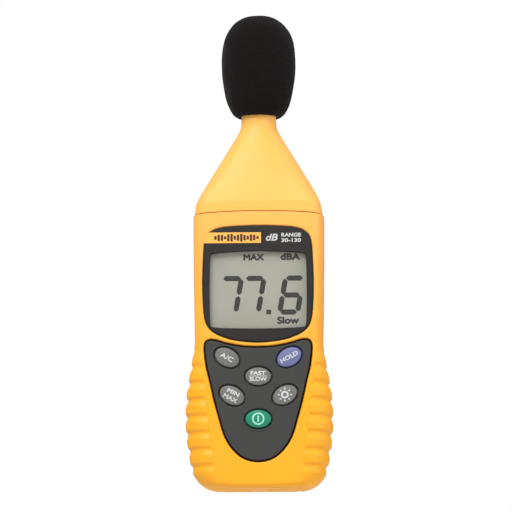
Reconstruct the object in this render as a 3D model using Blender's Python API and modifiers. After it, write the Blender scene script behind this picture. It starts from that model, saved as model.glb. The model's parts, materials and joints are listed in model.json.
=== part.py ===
"""Handheld sound level meter with a foam windscreen, modelled as an assembly.

The meter stands upright on its base: +Z runs up to the microphone, the display faces -Y and +X is
to the right of somebody reading it. The origin is at the middle of the base. Dimensions are in
millimetres and become metres through MM when a mesh or a curve is made.
"""
import math

import bmesh
import bpy
from mathutils import Matrix, Vector

MM = 0.001
GAP = 0.3                # clearance kept between pieces that touch
MERGE = 0.00001          # merge distance of modifiers, in metres

# Case: two half shells that meet at y = 0, with ribbed side grips in the lower half
CASE_TOP = 137.6         # seam under the nose cone
CASE_DEPTH = 31.0
HALF_DEPTH = CASE_DEPTH / 2
WALL = 2.4
POCKET = 1.2             # depth of the pockets for the bezel and the keypad panel
WAIST_HALF_WIDTH = 32.0
WAIST = 74.0             # height of the narrowest place, between the grips and the display
TOP_FLARE = 0.7          # how much wider the case is at its top than at its waist
GRIP_SWELL = 5.2
GRIP_MIDDLE = 36.2
GRIP_REACH = 37.5        # from the middle of the grip to either end
BASE_CORNER = 11.0       # corner radius seen from the front
BASE_EDGE = 3.5          # edge radius seen from the side
RIB_TOP = 69.65          # height of the highest groove
RIB_PITCH = 8.33
RIB_COUNT = 8
RIB_DEPTH = 1.1

# Nose cone and microphone
NOSE_BOTTOM = CASE_TOP + GAP
NOSE_STEP = 0.6          # the case stands this much proud of the nose all round
NOSE_SHOULDER = 144.0    # the nose turns from a box to a cone between here and the foot of the neck
NOSE_WALL = 2.0
NECK_FOOT = 183.3
CONE_SLOPE = 0.607       # how fast the cone widens, seen from the front
NECK_RADIUS = 8.75
NECK_TOP = 196.0
SPIGOT_BOTTOM = 133.2
SPIGOT_OUT = 2.15        # insets of the spigot's two sides from the nose's own outline
SPIGOT_IN = 4.0
SLEEVE_RADIUS = 6.5

# Windscreen: a foam ball drawn out downwards, bored for the neck and the microphone
FOAM_BOTTOM = 188.9
FOAM_BORE_STEP = 197.0
FOAM_BORE_TOP = 218.6
FOAM = (                 # (radius, height) points down its outside
    (0.0, 241.2), (4.0, 241.0), (6.8, 240.5), (9.0, 239.65), (11.35, 238.1), (13.0, 236.6), (14.3, 235.0),
    (15.4, 233.4), (16.3, 231.7), (17.0, 230.0), (17.6, 228.1), (18.2, 225.0), (18.65, 220.5), (18.8, 216.5),
    (18.6, 211.5), (18.0, 206.3), (16.95, 200.6), (16.3, 197.9), (15.5, 195.3), (14.7, 193.3),
    (14.15, 192.3), (13.55, 191.3), (12.75, 190.4), (11.8, 189.6), (10.8, 189.1), (10.2, FOAM_BOTTOM),
)

# Display
LCD_HALF_WIDTH = 26.5
LCD_LOW, LCD_HIGH = 78.5, 120.0

# Keys: name, x, z and tilt in degrees; all share one oval
KEYS = (
    ("key_ac", -15.5, 65.4, -28),
    ("key_hold", 15.5, 65.4, 28),
    ("key_fast_slow", 0.0, 55.9, 0),
    ("key_min_max", -13.1, 46.4, -28),
    ("key_light", 13.3, 46.5, 28),
    ("key_power", 0.0, 34.6, 0),
)
KEY_HALF_WIDTH = 6.75
KEY_SQUASH = 0.71        # height of a key over its width
KEY_HOLE = 7.1
KEY_FLANGE = 8.2

# Circuit board, held between the screw posts of the two half shells
BOARD_BACK = -6.4
BOARD_THICK = 1.6
BOARD_HALF_WIDTH = 27.0
BOARD_LOW, BOARD_HIGH = 5.5, 132.0
SCREWS = ((22.0, 128.5), (-22.0, 128.5), (23.5, 9.0), (-23.5, 9.0))
POST_RADIUS = 3.4
SCREW_HEAD_RADIUS = 2.6
SCREW_RADIUS = 1.4

# Battery well, sliding battery door and tripod insert, all on the back
WELL_HALF_WIDTH = 13.8
WELL_LOW, WELL_HIGH = 8.6, 63.0
WELL_WALL = 1.6
WELL_FRONT = -4.9
DOOR_HALF_WIDTH = 17.0
DOOR_LIP = 1.2           # width of the tongue down each side of the door
DOOR_TOP = 64.0
DOOR_THICK = 2.4
TRIPOD_HEIGHT = 84.0
INSERT_RADIUS = 5.0
THREAD_RADIUS = 2.9

# Sockets and the adjuster on the right-hand side, on the parting line
SOCKETS = (("output_jack", 98.0), ("power_jack", 112.0))
TRIMMER_HEIGHT = 86.0
SIDE_FACE = 32.2         # how far out the sockets reach

FINISHES = {
    "yellow_case": ((0.98, 0.48, 0.03), 0.42, 0.0),
    "yellow_nose": ((0.98, 0.56, 0.09), 0.42, 0.0),
    "dark_panel": ((0.045, 0.042, 0.04), 0.55, 0.0),
    "keypad_grey": ((0.075, 0.078, 0.085), 0.6, 0.0),
    "grey_key": ((0.21, 0.21, 0.205), 0.5, 0.0),
    "violet_key": ((0.22, 0.22, 0.46), 0.5, 0.0),
    "green_key": ((0.03, 0.3, 0.2), 0.5, 0.0),
    "foam": ((0.014, 0.012, 0.011), 0.95, 0.0),
    "lcd": ((0.41, 0.42, 0.35), 0.2, 0.0),
    "clear": ((0.85, 0.87, 0.85), 0.08, 0.0),
    "white_plastic": ((0.8, 0.8, 0.78), 0.5, 0.0),
    "black_plastic": ((0.02, 0.02, 0.022), 0.5, 0.0),
    "silicone": ((0.12, 0.12, 0.12), 0.8, 0.0),
    "board": ((0.02, 0.16, 0.07), 0.4, 0.0),
    "steel": ((0.6, 0.6, 0.62), 0.35, 0.9),
    "brass": ((0.72, 0.52, 0.2), 0.35, 0.9),
    "battery": ((0.05, 0.06, 0.09), 0.4, 0.3),
    "red_wire": ((0.5, 0.02, 0.02), 0.5, 0.0),
    "black_wire": ((0.02, 0.02, 0.02), 0.5, 0.0),
    "label": ((0.62, 0.62, 0.6), 0.5, 0.0),
}


# ---------------------------------------------------------------- scene and helpers

for old in list(bpy.data.objects):
    bpy.data.objects.remove(old, do_unlink=True)

parts = bpy.data.collections.new("sound_level_meter")
cutters = bpy.data.collections.new("cutters")
cutters.hide_render = True
for collection in (parts, cutters):
    bpy.context.scene.collection.children.link(collection)


def material(finish):
    """The named Principled material, made once."""
    if finish in bpy.data.materials:
        return bpy.data.materials[finish]
    colour, roughness, metallic = FINISHES[finish]
    made = bpy.data.materials.new(finish)
    made.use_nodes = True
    shader = made.node_tree.nodes["Principled BSDF"]
    shader.inputs["Base Color"].default_value = (*colour, 1.0)
    shader.inputs["Roughness"].default_value = roughness
    shader.inputs["Metallic"].default_value = metallic
    return made


def place(name, data, finish, origin):
    """Links an object at origin (mm) to the parts, or to the cutters where finish is None."""
    obj = bpy.data.objects.new(name, data)
    obj.location = Vector(origin) * MM
    if finish is None:
        cutters.objects.link(obj)
        obj.hide_render = True
        obj.display_type = "WIRE"
    else:
        parts.objects.link(obj)
        data.materials.append(material(finish))
    return obj


def from_bmesh(name, bm, finish, origin=(0, 0, 0), smooth=None):
    """An object from bm, which is drawn about origin in millimetres."""
    bmesh.ops.scale(bm, verts=bm.verts, vec=(MM, MM, MM))
    mesh = bpy.data.meshes.new(name)
    bm.to_mesh(mesh)
    bm.free()
    if smooth is not None:
        mesh.shade_smooth()
        mesh.set_sharp_from_angle(angle=math.radians(smooth))
    return place(name, mesh, finish, origin)


def box(name, low, high, finish, bevel=0.0):
    """A box between two corners, with its origin at its middle."""
    low, high = Vector(low), Vector(high)
    bm = bmesh.new()
    bmesh.ops.create_cube(bm, size=1.0)
    bmesh.ops.scale(bm, verts=bm.verts, vec=high - low)
    obj = from_bmesh(name, bm, finish, (low + high) / 2)
    if bevel:
        rounding = obj.modifiers.new("rounding", "BEVEL")
        rounding.width = bevel * MM
        rounding.segments = 2
    return obj


def cylinder(name, radius, start, end, finish, segments=24):
    """A round bar between two points, with its origin at its middle."""
    start, end = Vector(start), Vector(end)
    bm = bmesh.new()
    bmesh.ops.create_cone(bm, cap_ends=True, segments=segments, radius1=radius, radius2=radius,
                          depth=(end - start).length)
    obj = from_bmesh(name, bm, finish, (start + end) / 2, smooth=40)
    obj.rotation_euler = (end - start).to_track_quat("Z", "Y").to_euler()
    return obj


def turned(name, profile, finish, origin=(0, 0, 0), axis=(0, 0, 1), steps=24, closed=False):
    """A profile of (radius, height) points turned about the axis through origin.

    The outer side of the profile runs from its top down.
    """
    bm = bmesh.new()
    points = [bm.verts.new((radius, 0.0, height)) for radius, height in profile]
    for first, second in zip(points, points[1:]):
        bm.edges.new((first, second))
    if closed:
        bm.edges.new((points[-1], points[0]))
    obj = from_bmesh(name, bm, finish, origin)
    obj.rotation_euler = Vector(axis).to_track_quat("Z", "Y").to_euler()
    screw = obj.modifiers.new("turn", "SCREW")
    screw.steps = steps
    screw.render_steps = steps
    screw.use_merge_vertices = True
    screw.merge_threshold = MERGE
    screw.use_smooth_shade = True
    return obj


def plate(name, outlines, front, back, finish, origin=(0.0, 0.0), resolution=6):
    """A flat plate between y = front and y = back; its outlines are closed lists of (x, z)."""
    curve = bpy.data.curves.new(name, "CURVE")
    curve.dimensions = "2D"
    curve.fill_mode = "BOTH"
    curve.extrude = (back - front) / 2 * MM
    curve.resolution_u = resolution
    for outline in outlines:
        spline = curve.splines.new("POLY")
        spline.points.add(len(outline) - 1)
        for point, (x, z) in zip(spline.points, outline):
            point.co = ((x - origin[0]) * MM, (z - origin[1]) * MM, 0.0, 1.0)
        spline.use_cyclic_u = True
    obj = place(name, curve, finish, (origin[0], (front + back) / 2, origin[1]))
    obj.rotation_euler = (math.pi / 2, 0.0, 0.0)
    return obj


def as_mesh(obj):
    """Replaces a curve object with a mesh object of the same shape and place."""
    bpy.context.view_layer.update()
    evaluated = obj.evaluated_get(bpy.context.evaluated_depsgraph_get())
    mesh = bpy.data.meshes.new_from_object(evaluated)
    bm = bmesh.new()
    bm.from_mesh(mesh)
    bmesh.ops.remove_doubles(bm, verts=bm.verts, dist=MERGE)
    bmesh.ops.recalc_face_normals(bm, faces=bm.faces)
    bm.to_mesh(mesh)
    bm.free()
    name = obj.name
    collection = obj.users_collection[0]
    matrix = obj.matrix_world.copy()
    bpy.data.objects.remove(obj, do_unlink=True)
    made = bpy.data.objects.new(name, mesh)
    made.matrix_world = matrix
    collection.objects.link(made)
    if collection == cutters:
        made.hide_render = True
        made.display_type = "WIRE"
    return made


def wire(name, route, diameter, finish):
    """A round wire through the points of route."""
    curve = bpy.data.curves.new(name, "CURVE")
    curve.dimensions = "3D"
    curve.bevel_depth = diameter / 2 * MM
    curve.bevel_resolution = 2
    curve.use_fill_caps = True
    spline = curve.splines.new("POLY")
    points = [Vector(route[0])]
    for index in range(len(route) - 1):
        points += curve_span(route, index, 2)
    spline.points.add(len(points) - 1)
    start = Vector(route[0])
    for point, at in zip(spline.points, points):
        point.co = (*((at - start) * MM), 1.0)
    return place(name, curve, finish, start)


def curve_span(points, index, pieces, closed=False):
    """Points of the smooth curve from points[index] to the next, without its start."""
    count = len(points)

    def at(i):
        return Vector(points[i % count] if closed else points[min(max(i, 0), count - 1)])

    p0, p1, p2, p3 = (at(index + k) for k in (-1, 0, 1, 2))
    span = []
    for step in range(1, pieces + 1):
        t = step / pieces
        span.append(0.5 * (2 * p1 + (p2 - p0) * t + (2 * p0 - 5 * p1 + 4 * p2 - p3) * t ** 2
                           + (3 * p1 - p0 - 3 * p2 + p3) * t ** 3))
    return span


def smooth_outline(half, pieces=2):
    """A closed outline, symmetric about x = 0, through (x, z) points from the top down."""
    points = list(half) + [(-x, z) for x, z in reversed(half) if x > 0]
    outline = []
    for index in range(len(points)):
        outline += curve_span([(x, z, 0) for x, z in points], index, pieces, closed=True)
    return [(point.x, point.y) for point in outline]


def grown(outline, distance):
    """The outline moved outwards by distance along its normals."""
    moved = []
    count = len(outline)
    area = sum(outline[i][0] * outline[(i + 1) % count][1] - outline[(i + 1) % count][0] * outline[i][1]
               for i in range(count))
    side = math.copysign(distance, area)
    for i, (x, z) in enumerate(outline):
        before = Vector(outline[i - 1])
        after = Vector(outline[(i + 1) % count])
        along = (after - before).normalized()
        moved.append((x + along.y * side, z - along.x * side))
    return moved


def oval(x, z, half_width, half_height, tilt=0, count=24):
    """A closed ellipse about (x, z), turned by tilt degrees."""
    turn = math.radians(tilt)
    points = []
    for i in range(count):
        angle = 2 * math.pi * i / count
        u = half_width * math.cos(angle)
        v = half_height * math.sin(angle)
        points.append((x + u * math.cos(turn) - v * math.sin(turn),
                       z + u * math.sin(turn) + v * math.cos(turn)))
    return points


def key_oval(key, half_width):
    """The oval of a key, of another half width but with the same margin all round."""
    _, x, z, tilt = key
    half_height = KEY_HALF_WIDTH * KEY_SQUASH + half_width - KEY_HALF_WIDTH
    return oval(x, z, half_width, half_height, tilt)


def combine(obj, tools, operation):
    """Adds a Boolean modifier to obj for each tool."""
    for tool in tools:
        boolean = obj.modifiers.new(tool.name, "BOOLEAN")
        boolean.operation = operation
        boolean.solver = "EXACT"
        boolean.object = tool


# ---------------------------------------------------------------- outlines and sections

BEZEL = smooth_outline(((0, 131.4), (10, 131.15), (18.5, 130.4), (23.6, 128.3), (26.2, 124.3), (27.1, 114),
                        (27.45, 103), (27.1, 91.5), (25.9, 83.4), (22.8, 78.9), (17, 75.9), (10.2, 74.15),
                        (0, 73.25)))
WINDOW = smooth_outline(((0, 118.7), (12, 118.3), (21.8, 117.5), (23.5, 116.1), (23.9, 109), (24.0, 99),
                         (23.9, 89), (23.5, 82.1), (21.8, 80.9), (12, 80.4), (0, 80.2)))
KEYPAD = smooth_outline(((0, 70.6), (8, 71.0), (16, 72.5), (21.4, 74.1), (25.0, 74.0), (26.75, 71.2),
                         (25.9, 62), (23.95, 53.5), (21.7, 43.5), (19.2, 34.4), (17.1, 27.3), (14.3, 21.9),
                         (10.3, 17.3), (5.7, 14.5), (0, 13.5)))


def smoothstep(value):
    value = min(max(value, 0.0), 1.0)
    return value * value * (3 - 2 * value)


def case_half_width(z):
    """Half width of the case at height z, without its ribs."""
    width = WAIST_HALF_WIDTH
    if z > WAIST:
        width += TOP_FLARE * math.sin(math.pi / 2 * (z - WAIST) / (CASE_TOP - WAIST))
    else:
        lobe = math.cos(math.pi / 2 * (z - GRIP_MIDDLE) / GRIP_REACH)
        width += GRIP_SWELL * max(lobe, 0.0) ** 1.25
    if z < BASE_CORNER:
        width += math.sqrt(BASE_CORNER ** 2 - (BASE_CORNER - z) ** 2) - BASE_CORNER
    return width


def case_half_depth(z):
    if z < BASE_EDGE:
        return HALF_DEPTH - BASE_EDGE + math.sqrt(BASE_EDGE ** 2 - (BASE_EDGE - z) ** 2)
    return HALF_DEPTH


def case_corner(z):
    """Corner radii along x and y: small beside the display, wide over the grips."""
    grip = smoothstep((76 - z) / 42)
    return 6.5 + 5.5 * grip, 8.0 + 3.5 * grip


def quarter_section(half_width, half_depth, corner, columns=(1, 5, 1)):
    """Points (x, y, share) of a rounded rectangle, from the side (y = 0) to the middle of the front.

    share says how far round the corner a point is: 0 on the side and 1 on the flat front.
    """
    corner_x, corner_y = corner
    sides, arcs, fronts = columns
    points = [(half_width, (half_depth - corner_y) * i / sides, 0.0) for i in range(sides)]
    for i in range(arcs + 1):
        angle = math.pi / 2 * i / arcs
        points.append((half_width - corner_x * (1 - math.cos(angle)),
                       half_depth - corner_y * (1 - math.sin(angle)), i / arcs))
    flat = half_width - corner_x
    points += [(flat * (1 - i / fronts), half_depth, 1.0) for i in range(1, fronts + 1)]
    return points


def rib_height(z):
    """How far the grip stands off its valleys at height z: each rib swells downwards, then steps in."""
    below_top = (RIB_TOP - z) / RIB_PITCH
    if below_top < 0 or below_top > RIB_COUNT - 1:
        return 0.0
    along = below_top % 1.0
    fade = min((below_top + 0.6) / 2, 1.0)
    return RIB_DEPTH * fade * (smoothstep(along / 0.5) * smoothstep((1 - along) / 0.18) - 1)


# ---------------------------------------------------------------- case shells

def shell_levels():
    """Heights of the rows of the case shells: base corner, ribs, display section."""
    levels = [0.4, 1.3, 2.8, 4.9, 7.6]
    for rib in range(RIB_COUNT - 1, 0, -1):
        groove = RIB_TOP - RIB_PITCH * rib
        levels += [groove, groove + 0.18 * RIB_PITCH, groove + 0.5 * RIB_PITCH]
    return levels + [RIB_TOP, 76, 92, 108, 123, CASE_TOP]


def case_shell(name, side):
    """One half of the case. side is -1 for the front half and 1 for the back half."""
    rows = []
    for share in (0.0, 0.5, 1.0):
        section = quarter_section(case_half_width(0), case_half_depth(0), case_corner(0))
        rows.append([(x * (0.4 + 0.6 * share), y * share, 0.0) for x, y, _ in section])
    for z in shell_levels():
        section = quarter_section(case_half_width(z), case_half_depth(z), case_corner(z))
        corner_x, corner_y = case_corner(z)
        row = []
        for x, y, share in section:
            rise = rib_height(z) * smoothstep((1 - share) / 0.35)
            turn = math.pi / 2 * share
            row.append((x + rise * math.cos(turn), y + rise * math.sin(turn), z))
        rows.append(row)
    bm = bmesh.new()
    grid = [[bm.verts.new((x, side * (y + GAP / 2), z)) for x, y, z in row] for row in rows]
    for lower, upper in zip(grid, grid[1:]):
        for i in range(len(lower) - 1):
            corners = (lower[i], upper[i], upper[i + 1], lower[i + 1])
            bm.faces.new(corners if side < 0 else corners[::-1])
    bmesh.ops.remove_doubles(bm, verts=bm.verts, dist=0.001)
    obj = from_bmesh(name, bm, "yellow_case", smooth=35)
    mirror = obj.modifiers.new("other side", "MIRROR")
    mirror.merge_threshold = MERGE
    wall = obj.modifiers.new("wall", "SOLIDIFY")
    wall.thickness = WALL * MM
    wall.offset = -1.0
    wall.use_even_offset = True
    return obj


def screw_post(x, z, side, start, end):
    """A round post on the inside of a half shell, from the wall to the circuit board."""
    return cylinder(f"post_{side}_{x:.0f}_{z:.0f}", POST_RADIUS, (x, start, z), (x, end, z), None, 20)


def side_holes(side):
    """Cutters for the openings on the parting line at the right-hand side."""
    holes = []
    for name, z, radius in (("output", SOCKETS[0][1], 3.6), ("power", SOCKETS[1][1], 4.6),
                            ("adjuster", TRIMMER_HEIGHT, 2.2)):
        holes.append(cylinder(f"{name}_hole_{side}", radius, (28.0, 0, z), (38.0, 0, z), None, 24))
    return holes


def make_front_case():
    case = case_shell("front_case", -1)
    board_front = BOARD_BACK - BOARD_THICK
    inner_face = -HALF_DEPTH + WALL
    posts = []
    pilots = []
    for x, z in SCREWS:
        posts.append(screw_post(x, z, "front", inner_face - 0.4, board_front - GAP))
        pilots.append(cylinder(f"pilot_{x:.0f}_{z:.0f}", SCREW_RADIUS + GAP, (x, -12.7, z),
                               (x, board_front, z), None, 12))
    combine(case, posts, "UNION")
    pockets = [
        as_mesh(plate("bezel_pocket", [grown(BEZEL, GAP)], -20, -HALF_DEPTH + POCKET, None)),
        as_mesh(plate("window_hole", [grown(WINDOW, 0.8)], -20, -10, None)),
        as_mesh(plate("keypad_pocket", [grown(KEYPAD, GAP)], -20, -HALF_DEPTH + POCKET, None)),
    ]
    for key in KEYS:
        pockets.append(as_mesh(plate(f"{key[0]}_hole", [key_oval(key, KEY_HOLE)], -20, -10, None)))
    combine(case, pockets + pilots + side_holes("front"), "DIFFERENCE")


def make_rear_case():
    case = case_shell("rear_case", 1)
    wide = WELL_HALF_WIDTH + WELL_WALL
    well = box("well_block", (-wide, WELL_FRONT - WELL_WALL + 0.6, WELL_LOW - WELL_WALL),
               (wide, 13.6, WELL_HIGH + WELL_WALL), None)
    seat = cylinder("insert_seat", INSERT_RADIUS + 3, (0, 5, TRIPOD_HEIGHT), (0, 13.8, TRIPOD_HEIGHT), None)
    posts = [screw_post(x, z, "rear", BOARD_BACK + GAP, 13.5) for x, z in SCREWS]
    combine(case, [well, seat] + posts, "UNION")
    cuts = [
        box("well_space", (-WELL_HALF_WIDTH, WELL_FRONT, WELL_LOW), (WELL_HALF_WIDTH, 20, WELL_HIGH), None),
        box("door_space", (-DOOR_HALF_WIDTH - GAP, HALF_DEPTH - DOOR_THICK - GAP, -5),
            (DOOR_HALF_WIDTH + GAP, 20, DOOR_TOP + GAP), None),
        box("door_rails", (-DOOR_HALF_WIDTH - DOOR_LIP - GAP, HALF_DEPTH - DOOR_THICK - GAP, -5),
            (DOOR_HALF_WIDTH + DOOR_LIP + GAP, HALF_DEPTH - 0.9, DOOR_TOP + GAP), None),
        cylinder("lead_hole", 3.2, (0, 1.5, WELL_HIGH - 2), (0, 1.5, WELL_HIGH + 6), None),
        cylinder("insert_hole", INSERT_RADIUS + GAP, (0, 7.0, TRIPOD_HEIGHT), (0, 20, TRIPOD_HEIGHT), None),
        box("label_recess", (-22.3, HALF_DEPTH - 0.6, 101.7), (22.3, 20, 122.3), None),
    ]
    for x, z in SCREWS:
        cuts.append(cylinder(f"head_hole_{x:.0f}_{z:.0f}", SCREW_HEAD_RADIUS + GAP, (x, 9.0, z), (x, 20, z),
                             None, 20))
        cuts.append(cylinder(f"shank_hole_{x:.0f}_{z:.0f}", SCREW_RADIUS + GAP, (x, BOARD_BACK - 2, z),
                             (x, 12, z), None, 12))
    combine(case, cuts + side_holes("rear"), "DIFFERENCE")


def make_screws():
    """Four countersunk case screws, driven from the back into the posts of the front half."""
    for number, (x, z) in enumerate(SCREWS, 1):
        head = SCREW_HEAD_RADIUS
        profile = ((0, 1.0), (0.9, 1.0), (0.9, 2.2), (head, 2.2), (head, 0.4), (SCREW_RADIUS, 0.0),
                   (SCREW_RADIUS, -19.0), (0, -20.6))
        turned(f"case_screw_{number}", profile, "steel", (x, 9.3, z), (0, 1, 0), steps=12)


# ---------------------------------------------------------------- nose cone and microphone

def nose_half_width(z):
    """Half width of the nose: upright at the seam, a rounded shoulder, a straight cone, the neck."""
    body = WAIST_HALF_WIDTH + TOP_FLARE - NOSE_STEP
    cone = NECK_RADIUS + CONE_SLOPE * (NECK_FOOT - z)
    soft = 1.6
    low = -soft * math.log(math.exp(-body / soft) + math.exp(-cone / soft))
    soft = 0.7
    return soft * math.log(math.exp(low / soft) + math.exp(NECK_RADIUS / soft))


def nose_ring(z, inset=0.0):
    """Points round the nose at height z, inset by so much, anticlockwise from +X.

    The ring changes from the case's rounded rectangle at the seam to a circle at the neck.
    """
    rise = min(max((z - NOSE_SHOULDER) / (NECK_FOOT - NOSE_SHOULDER), 0.0), 1.0)
    seam_depth = HALF_DEPTH - NOSE_STEP
    half_width = nose_half_width(z) - inset
    half_depth = seam_depth - (seam_depth - NECK_RADIUS) * rise ** 1.15 - inset
    square = (1 - rise) ** 1.4
    corner = (min(6.5 - inset, half_width), min(8.0 - inset, half_depth))
    section = quarter_section(half_width, half_depth, corner)
    quarter = []
    for i, (x, y, _) in enumerate(section):
        angle = math.pi / 2 * i / (len(section) - 1)
        round_x = half_width * math.cos(angle)
        round_y = half_depth * math.sin(angle)
        quarter.append((round_x + (x - round_x) * square, round_y + (y - round_y) * square))
    ring = [(x, y, z) for x, y in quarter[:-1]]
    ring += [(-x, y, z) for x, y in quarter[:0:-1]]
    ring += [(-x, -y, z) for x, y in quarter[:-1]]
    ring += [(x, -y, z) for x, y in quarter[:0:-1]]
    return ring


def make_nose():
    """The nose cone with its neck, hollow, and a spigot below that fits inside the case."""
    outside = (NOSE_BOTTOM, 143, 146, 148, 150, 153, 160, 170, 179, 181.5, 183.5, 186, NECK_TOP)
    inside = (NECK_TOP, 184, 180, 166, 153, 148, 144)
    rings = [nose_ring(z) for z in outside]
    rings += [nose_ring(z, NOSE_WALL) for z in inside]
    rings += [nose_ring(z, inset) for z, inset in ((140, SPIGOT_IN), (SPIGOT_BOTTOM, SPIGOT_IN),
                                                   (SPIGOT_BOTTOM, SPIGOT_OUT), (NOSE_BOTTOM, SPIGOT_OUT))]
    bm = bmesh.new()
    grid = [[bm.verts.new(point) for point in ring] for ring in rings]
    for ring, above in zip(grid, grid[1:] + grid[:1]):
        for i in range(len(ring)):
            j = (i + 1) % len(ring)
            bm.faces.new((ring[i], ring[j], above[j], above[i]))
    from_bmesh("nose_cone", bm, "yellow_nose", smooth=35)


def make_microphone():
    """Half-inch electret microphone on a tube that stands out of the neck, with its preamplifier."""
    sleeve = ((SLEEVE_RADIUS, 211.0), (SLEEVE_RADIUS, 176.0), (5.2, 176.0), (5.2, 211.0))
    turned("mic_sleeve", sleeve, "black_plastic", closed=True)
    capsule = ((0, 215.0), (6.0, 215.0), (6.0, 211.3), (4.8, 211.3), (4.8, 206.0), (0, 206.0))
    turned("mic_capsule", capsule, "steel")
    grid = ((0, 217.6), (6.6, 217.6), (6.95, 217.2), (6.95, 211.6), (6.35, 211.6), (6.35, 216.6), (0, 216.6))
    cap = turned("mic_grid", grid, "steel")
    holes = []
    for i in range(6):
        angle = math.pi / 3 * i
        x, y = 3.6 * math.cos(angle), 3.6 * math.sin(angle)
        holes.append(cylinder(f"grid_hole_{i}", 0.8, (x, y, 215.8), (x, y, 219), None, 6))
    combine(cap, holes, "DIFFERENCE")
    box("mic_board", (-4.4, -0.8, 150), (4.4, 0.8, 203), "board")
    route = ((-2.0, 1.8, 152), (-2.2, 1.9, 146), (-3.5, -0.5, 139), (-5.5, -4.2, 133.5), (-6.0, -5.3, 129),
             (-6.0, -5.3, 122))
    wire("mic_cable", route, 1.6, "black_wire")


def make_windscreen():
    """Foam ball over the microphone; it pulls off upwards, and its axis is the neck's."""
    profile = list(FOAM)
    neck_bore = NECK_RADIUS + GAP
    mic_bore = 7.3
    profile += [(neck_bore, FOAM_BOTTOM + 0.6), (neck_bore, FOAM_BORE_STEP),
                (mic_bore, FOAM_BORE_STEP), (mic_bore, FOAM_BORE_TOP), (0.0, FOAM_BORE_TOP)]
    lowered = [(radius, height - FOAM_BOTTOM) for radius, height in profile]
    turned("windscreen", lowered, "foam", (0, 0, FOAM_BOTTOM), steps=28)


# ---------------------------------------------------------------- display

def make_display():
    face = -HALF_DEPTH
    plate("display_bezel", [BEZEL, grown(WINDOW, GAP)], face - 0.2, face + POCKET - GAP, "dark_panel")
    plate("display_lens", [WINDOW], face + 0.1, face + POCKET - GAP, "clear")
    middle = (LCD_LOW + LCD_HIGH) / 2
    frame = [rectangle(-27.5, LCD_LOW - 1.4, 27.5, LCD_HIGH + 1.7),
             rectangle(-LCD_HALF_WIDTH - GAP, LCD_LOW - GAP, LCD_HALF_WIDTH + GAP, LCD_HIGH + GAP)]
    plate("lcd_frame", frame, -12.2, -8.3, "white_plastic", (0, middle))
    box("lcd_glass", (-LCD_HALF_WIDTH, -12.8, LCD_LOW), (LCD_HALF_WIDTH, -11.0, LCD_HIGH), "lcd")
    box("lcd_backlight", (-24.5, -10.7, 82.3), (24.5, -8.9, 116.2), "white_plastic")
    for name, low in (("zebra_strip_low", 79.0), ("zebra_strip_high", 117.2)):
        box(name, (-24.0, -10.7, low), (24.0, -8.3, low + 2.3), "silicone")


def rectangle(left, low, right, high):
    return [(left, low), (right, low), (right, high), (left, high)]


# ---------------------------------------------------------------- keypad

def make_keypad():
    face = -HALF_DEPTH
    holes = [key_oval(key, KEY_HOLE) for key in KEYS]
    plate("keypad_panel", [KEYPAD] + holes, face - 0.2, face + POCKET - GAP, "keypad_grey")
    mat = box("keypad_mat", (-22, -9.9, 26), (22, -8.9, 73.5), "silicone")
    domes = [cylinder(f"dome_{name}", 3.6, (x, -10.5, z), (x, -9.4, z), None, 12) for name, x, z, _ in KEYS]
    combine(mat, domes, "UNION")
    finishes = {"key_hold": "violet_key", "key_power": "green_key"}
    for name, x, z, tilt in KEYS:
        profile = ((0, 5.0), (4.6, 4.9), (6.3, 4.6), (KEY_HALF_WIDTH, 4.1),
                   (KEY_HALF_WIDTH, 1.2), (KEY_FLANGE, 1.2), (KEY_FLANGE, 0.0), (0, 0.0))
        key = turned(name, profile, finishes.get(name, "grey_key"), (x, -11.6, z), (0, -1, 0), steps=20)
        turn = Matrix.Rotation(-math.radians(tilt), 4, "Y")
        key.rotation_euler = (turn @ Matrix.Rotation(math.pi / 2, 4, "X")).to_euler()
        key.scale = (1.0, KEY_SQUASH, 1.0)


# ---------------------------------------------------------------- electronics

def make_board():
    """The main circuit board; the four case screws pass through it."""
    outline = rectangle(-BOARD_HALF_WIDTH, BOARD_LOW, BOARD_HALF_WIDTH, BOARD_HIGH)
    holes = [oval(x, z, 1.9, 1.9, count=12) for x, z in SCREWS]
    plate("main_board", [outline] + holes, BOARD_BACK - BOARD_THICK, BOARD_BACK, "board")
    back = BOARD_BACK + GAP
    box("processor_chip", (-18, back, 92), (-6, back + 1.6, 104), "black_plastic")
    box("amplifier_chip", (-17, back, 112), (-8, back + 1.5, 117), "black_plastic")
    cylinder("capacitor", 3.0, (2, back, 118), (2, back + 7, 118), "black_plastic", 20)


def make_sockets():
    """Signal and power sockets and the calibration adjuster behind the right-hand side."""
    sizes = {"output_jack": (3.4, 3.6, 3.2, 1.8, 13), "power_jack": (4.8, 5.2, 4.2, 3.15, 9)}
    for name, z in SOCKETS:
        half, rise, nose, bore, depth = sizes[name]
        body = box(name, (17.5, BOARD_BACK + GAP, z - half), (29.6, rise, z + half), "black_plastic")
        combine(body, [cylinder(f"{name}_nose", nose, (28, 0, z), (SIDE_FACE, 0, z), None, 24)], "UNION")
        hole = cylinder(f"{name}_bore", bore, (SIDE_FACE - depth, 0, z), (SIDE_FACE + 3, 0, z), None, 20)
        combine(body, [hole], "DIFFERENCE")
    z = SOCKETS[1][1]
    combine(bpy.data.objects["power_jack"], [cylinder("power_pin", 1.0, (21, 0, z), (31.2, 0, z), None, 12)],
            "UNION")
    z = TRIMMER_HEIGHT
    box("trimmer_body", (23.0, BOARD_BACK + GAP, z - 3.3), (29.4, 3.2, z + 3.3), "board")
    rotor = turned("trimmer_rotor", ((0, 1.6), (1.5, 1.6), (1.8, 1.3), (1.8, 0), (0, 0)), "brass",
                   (29.7, 0, z), (1, 0, 0), steps=20)
    slot = box("trimmer_slot", (30.6, -0.35, z - 3), (33, 0.35, z + 3), None)
    combine(rotor, [slot], "DIFFERENCE")


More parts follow.
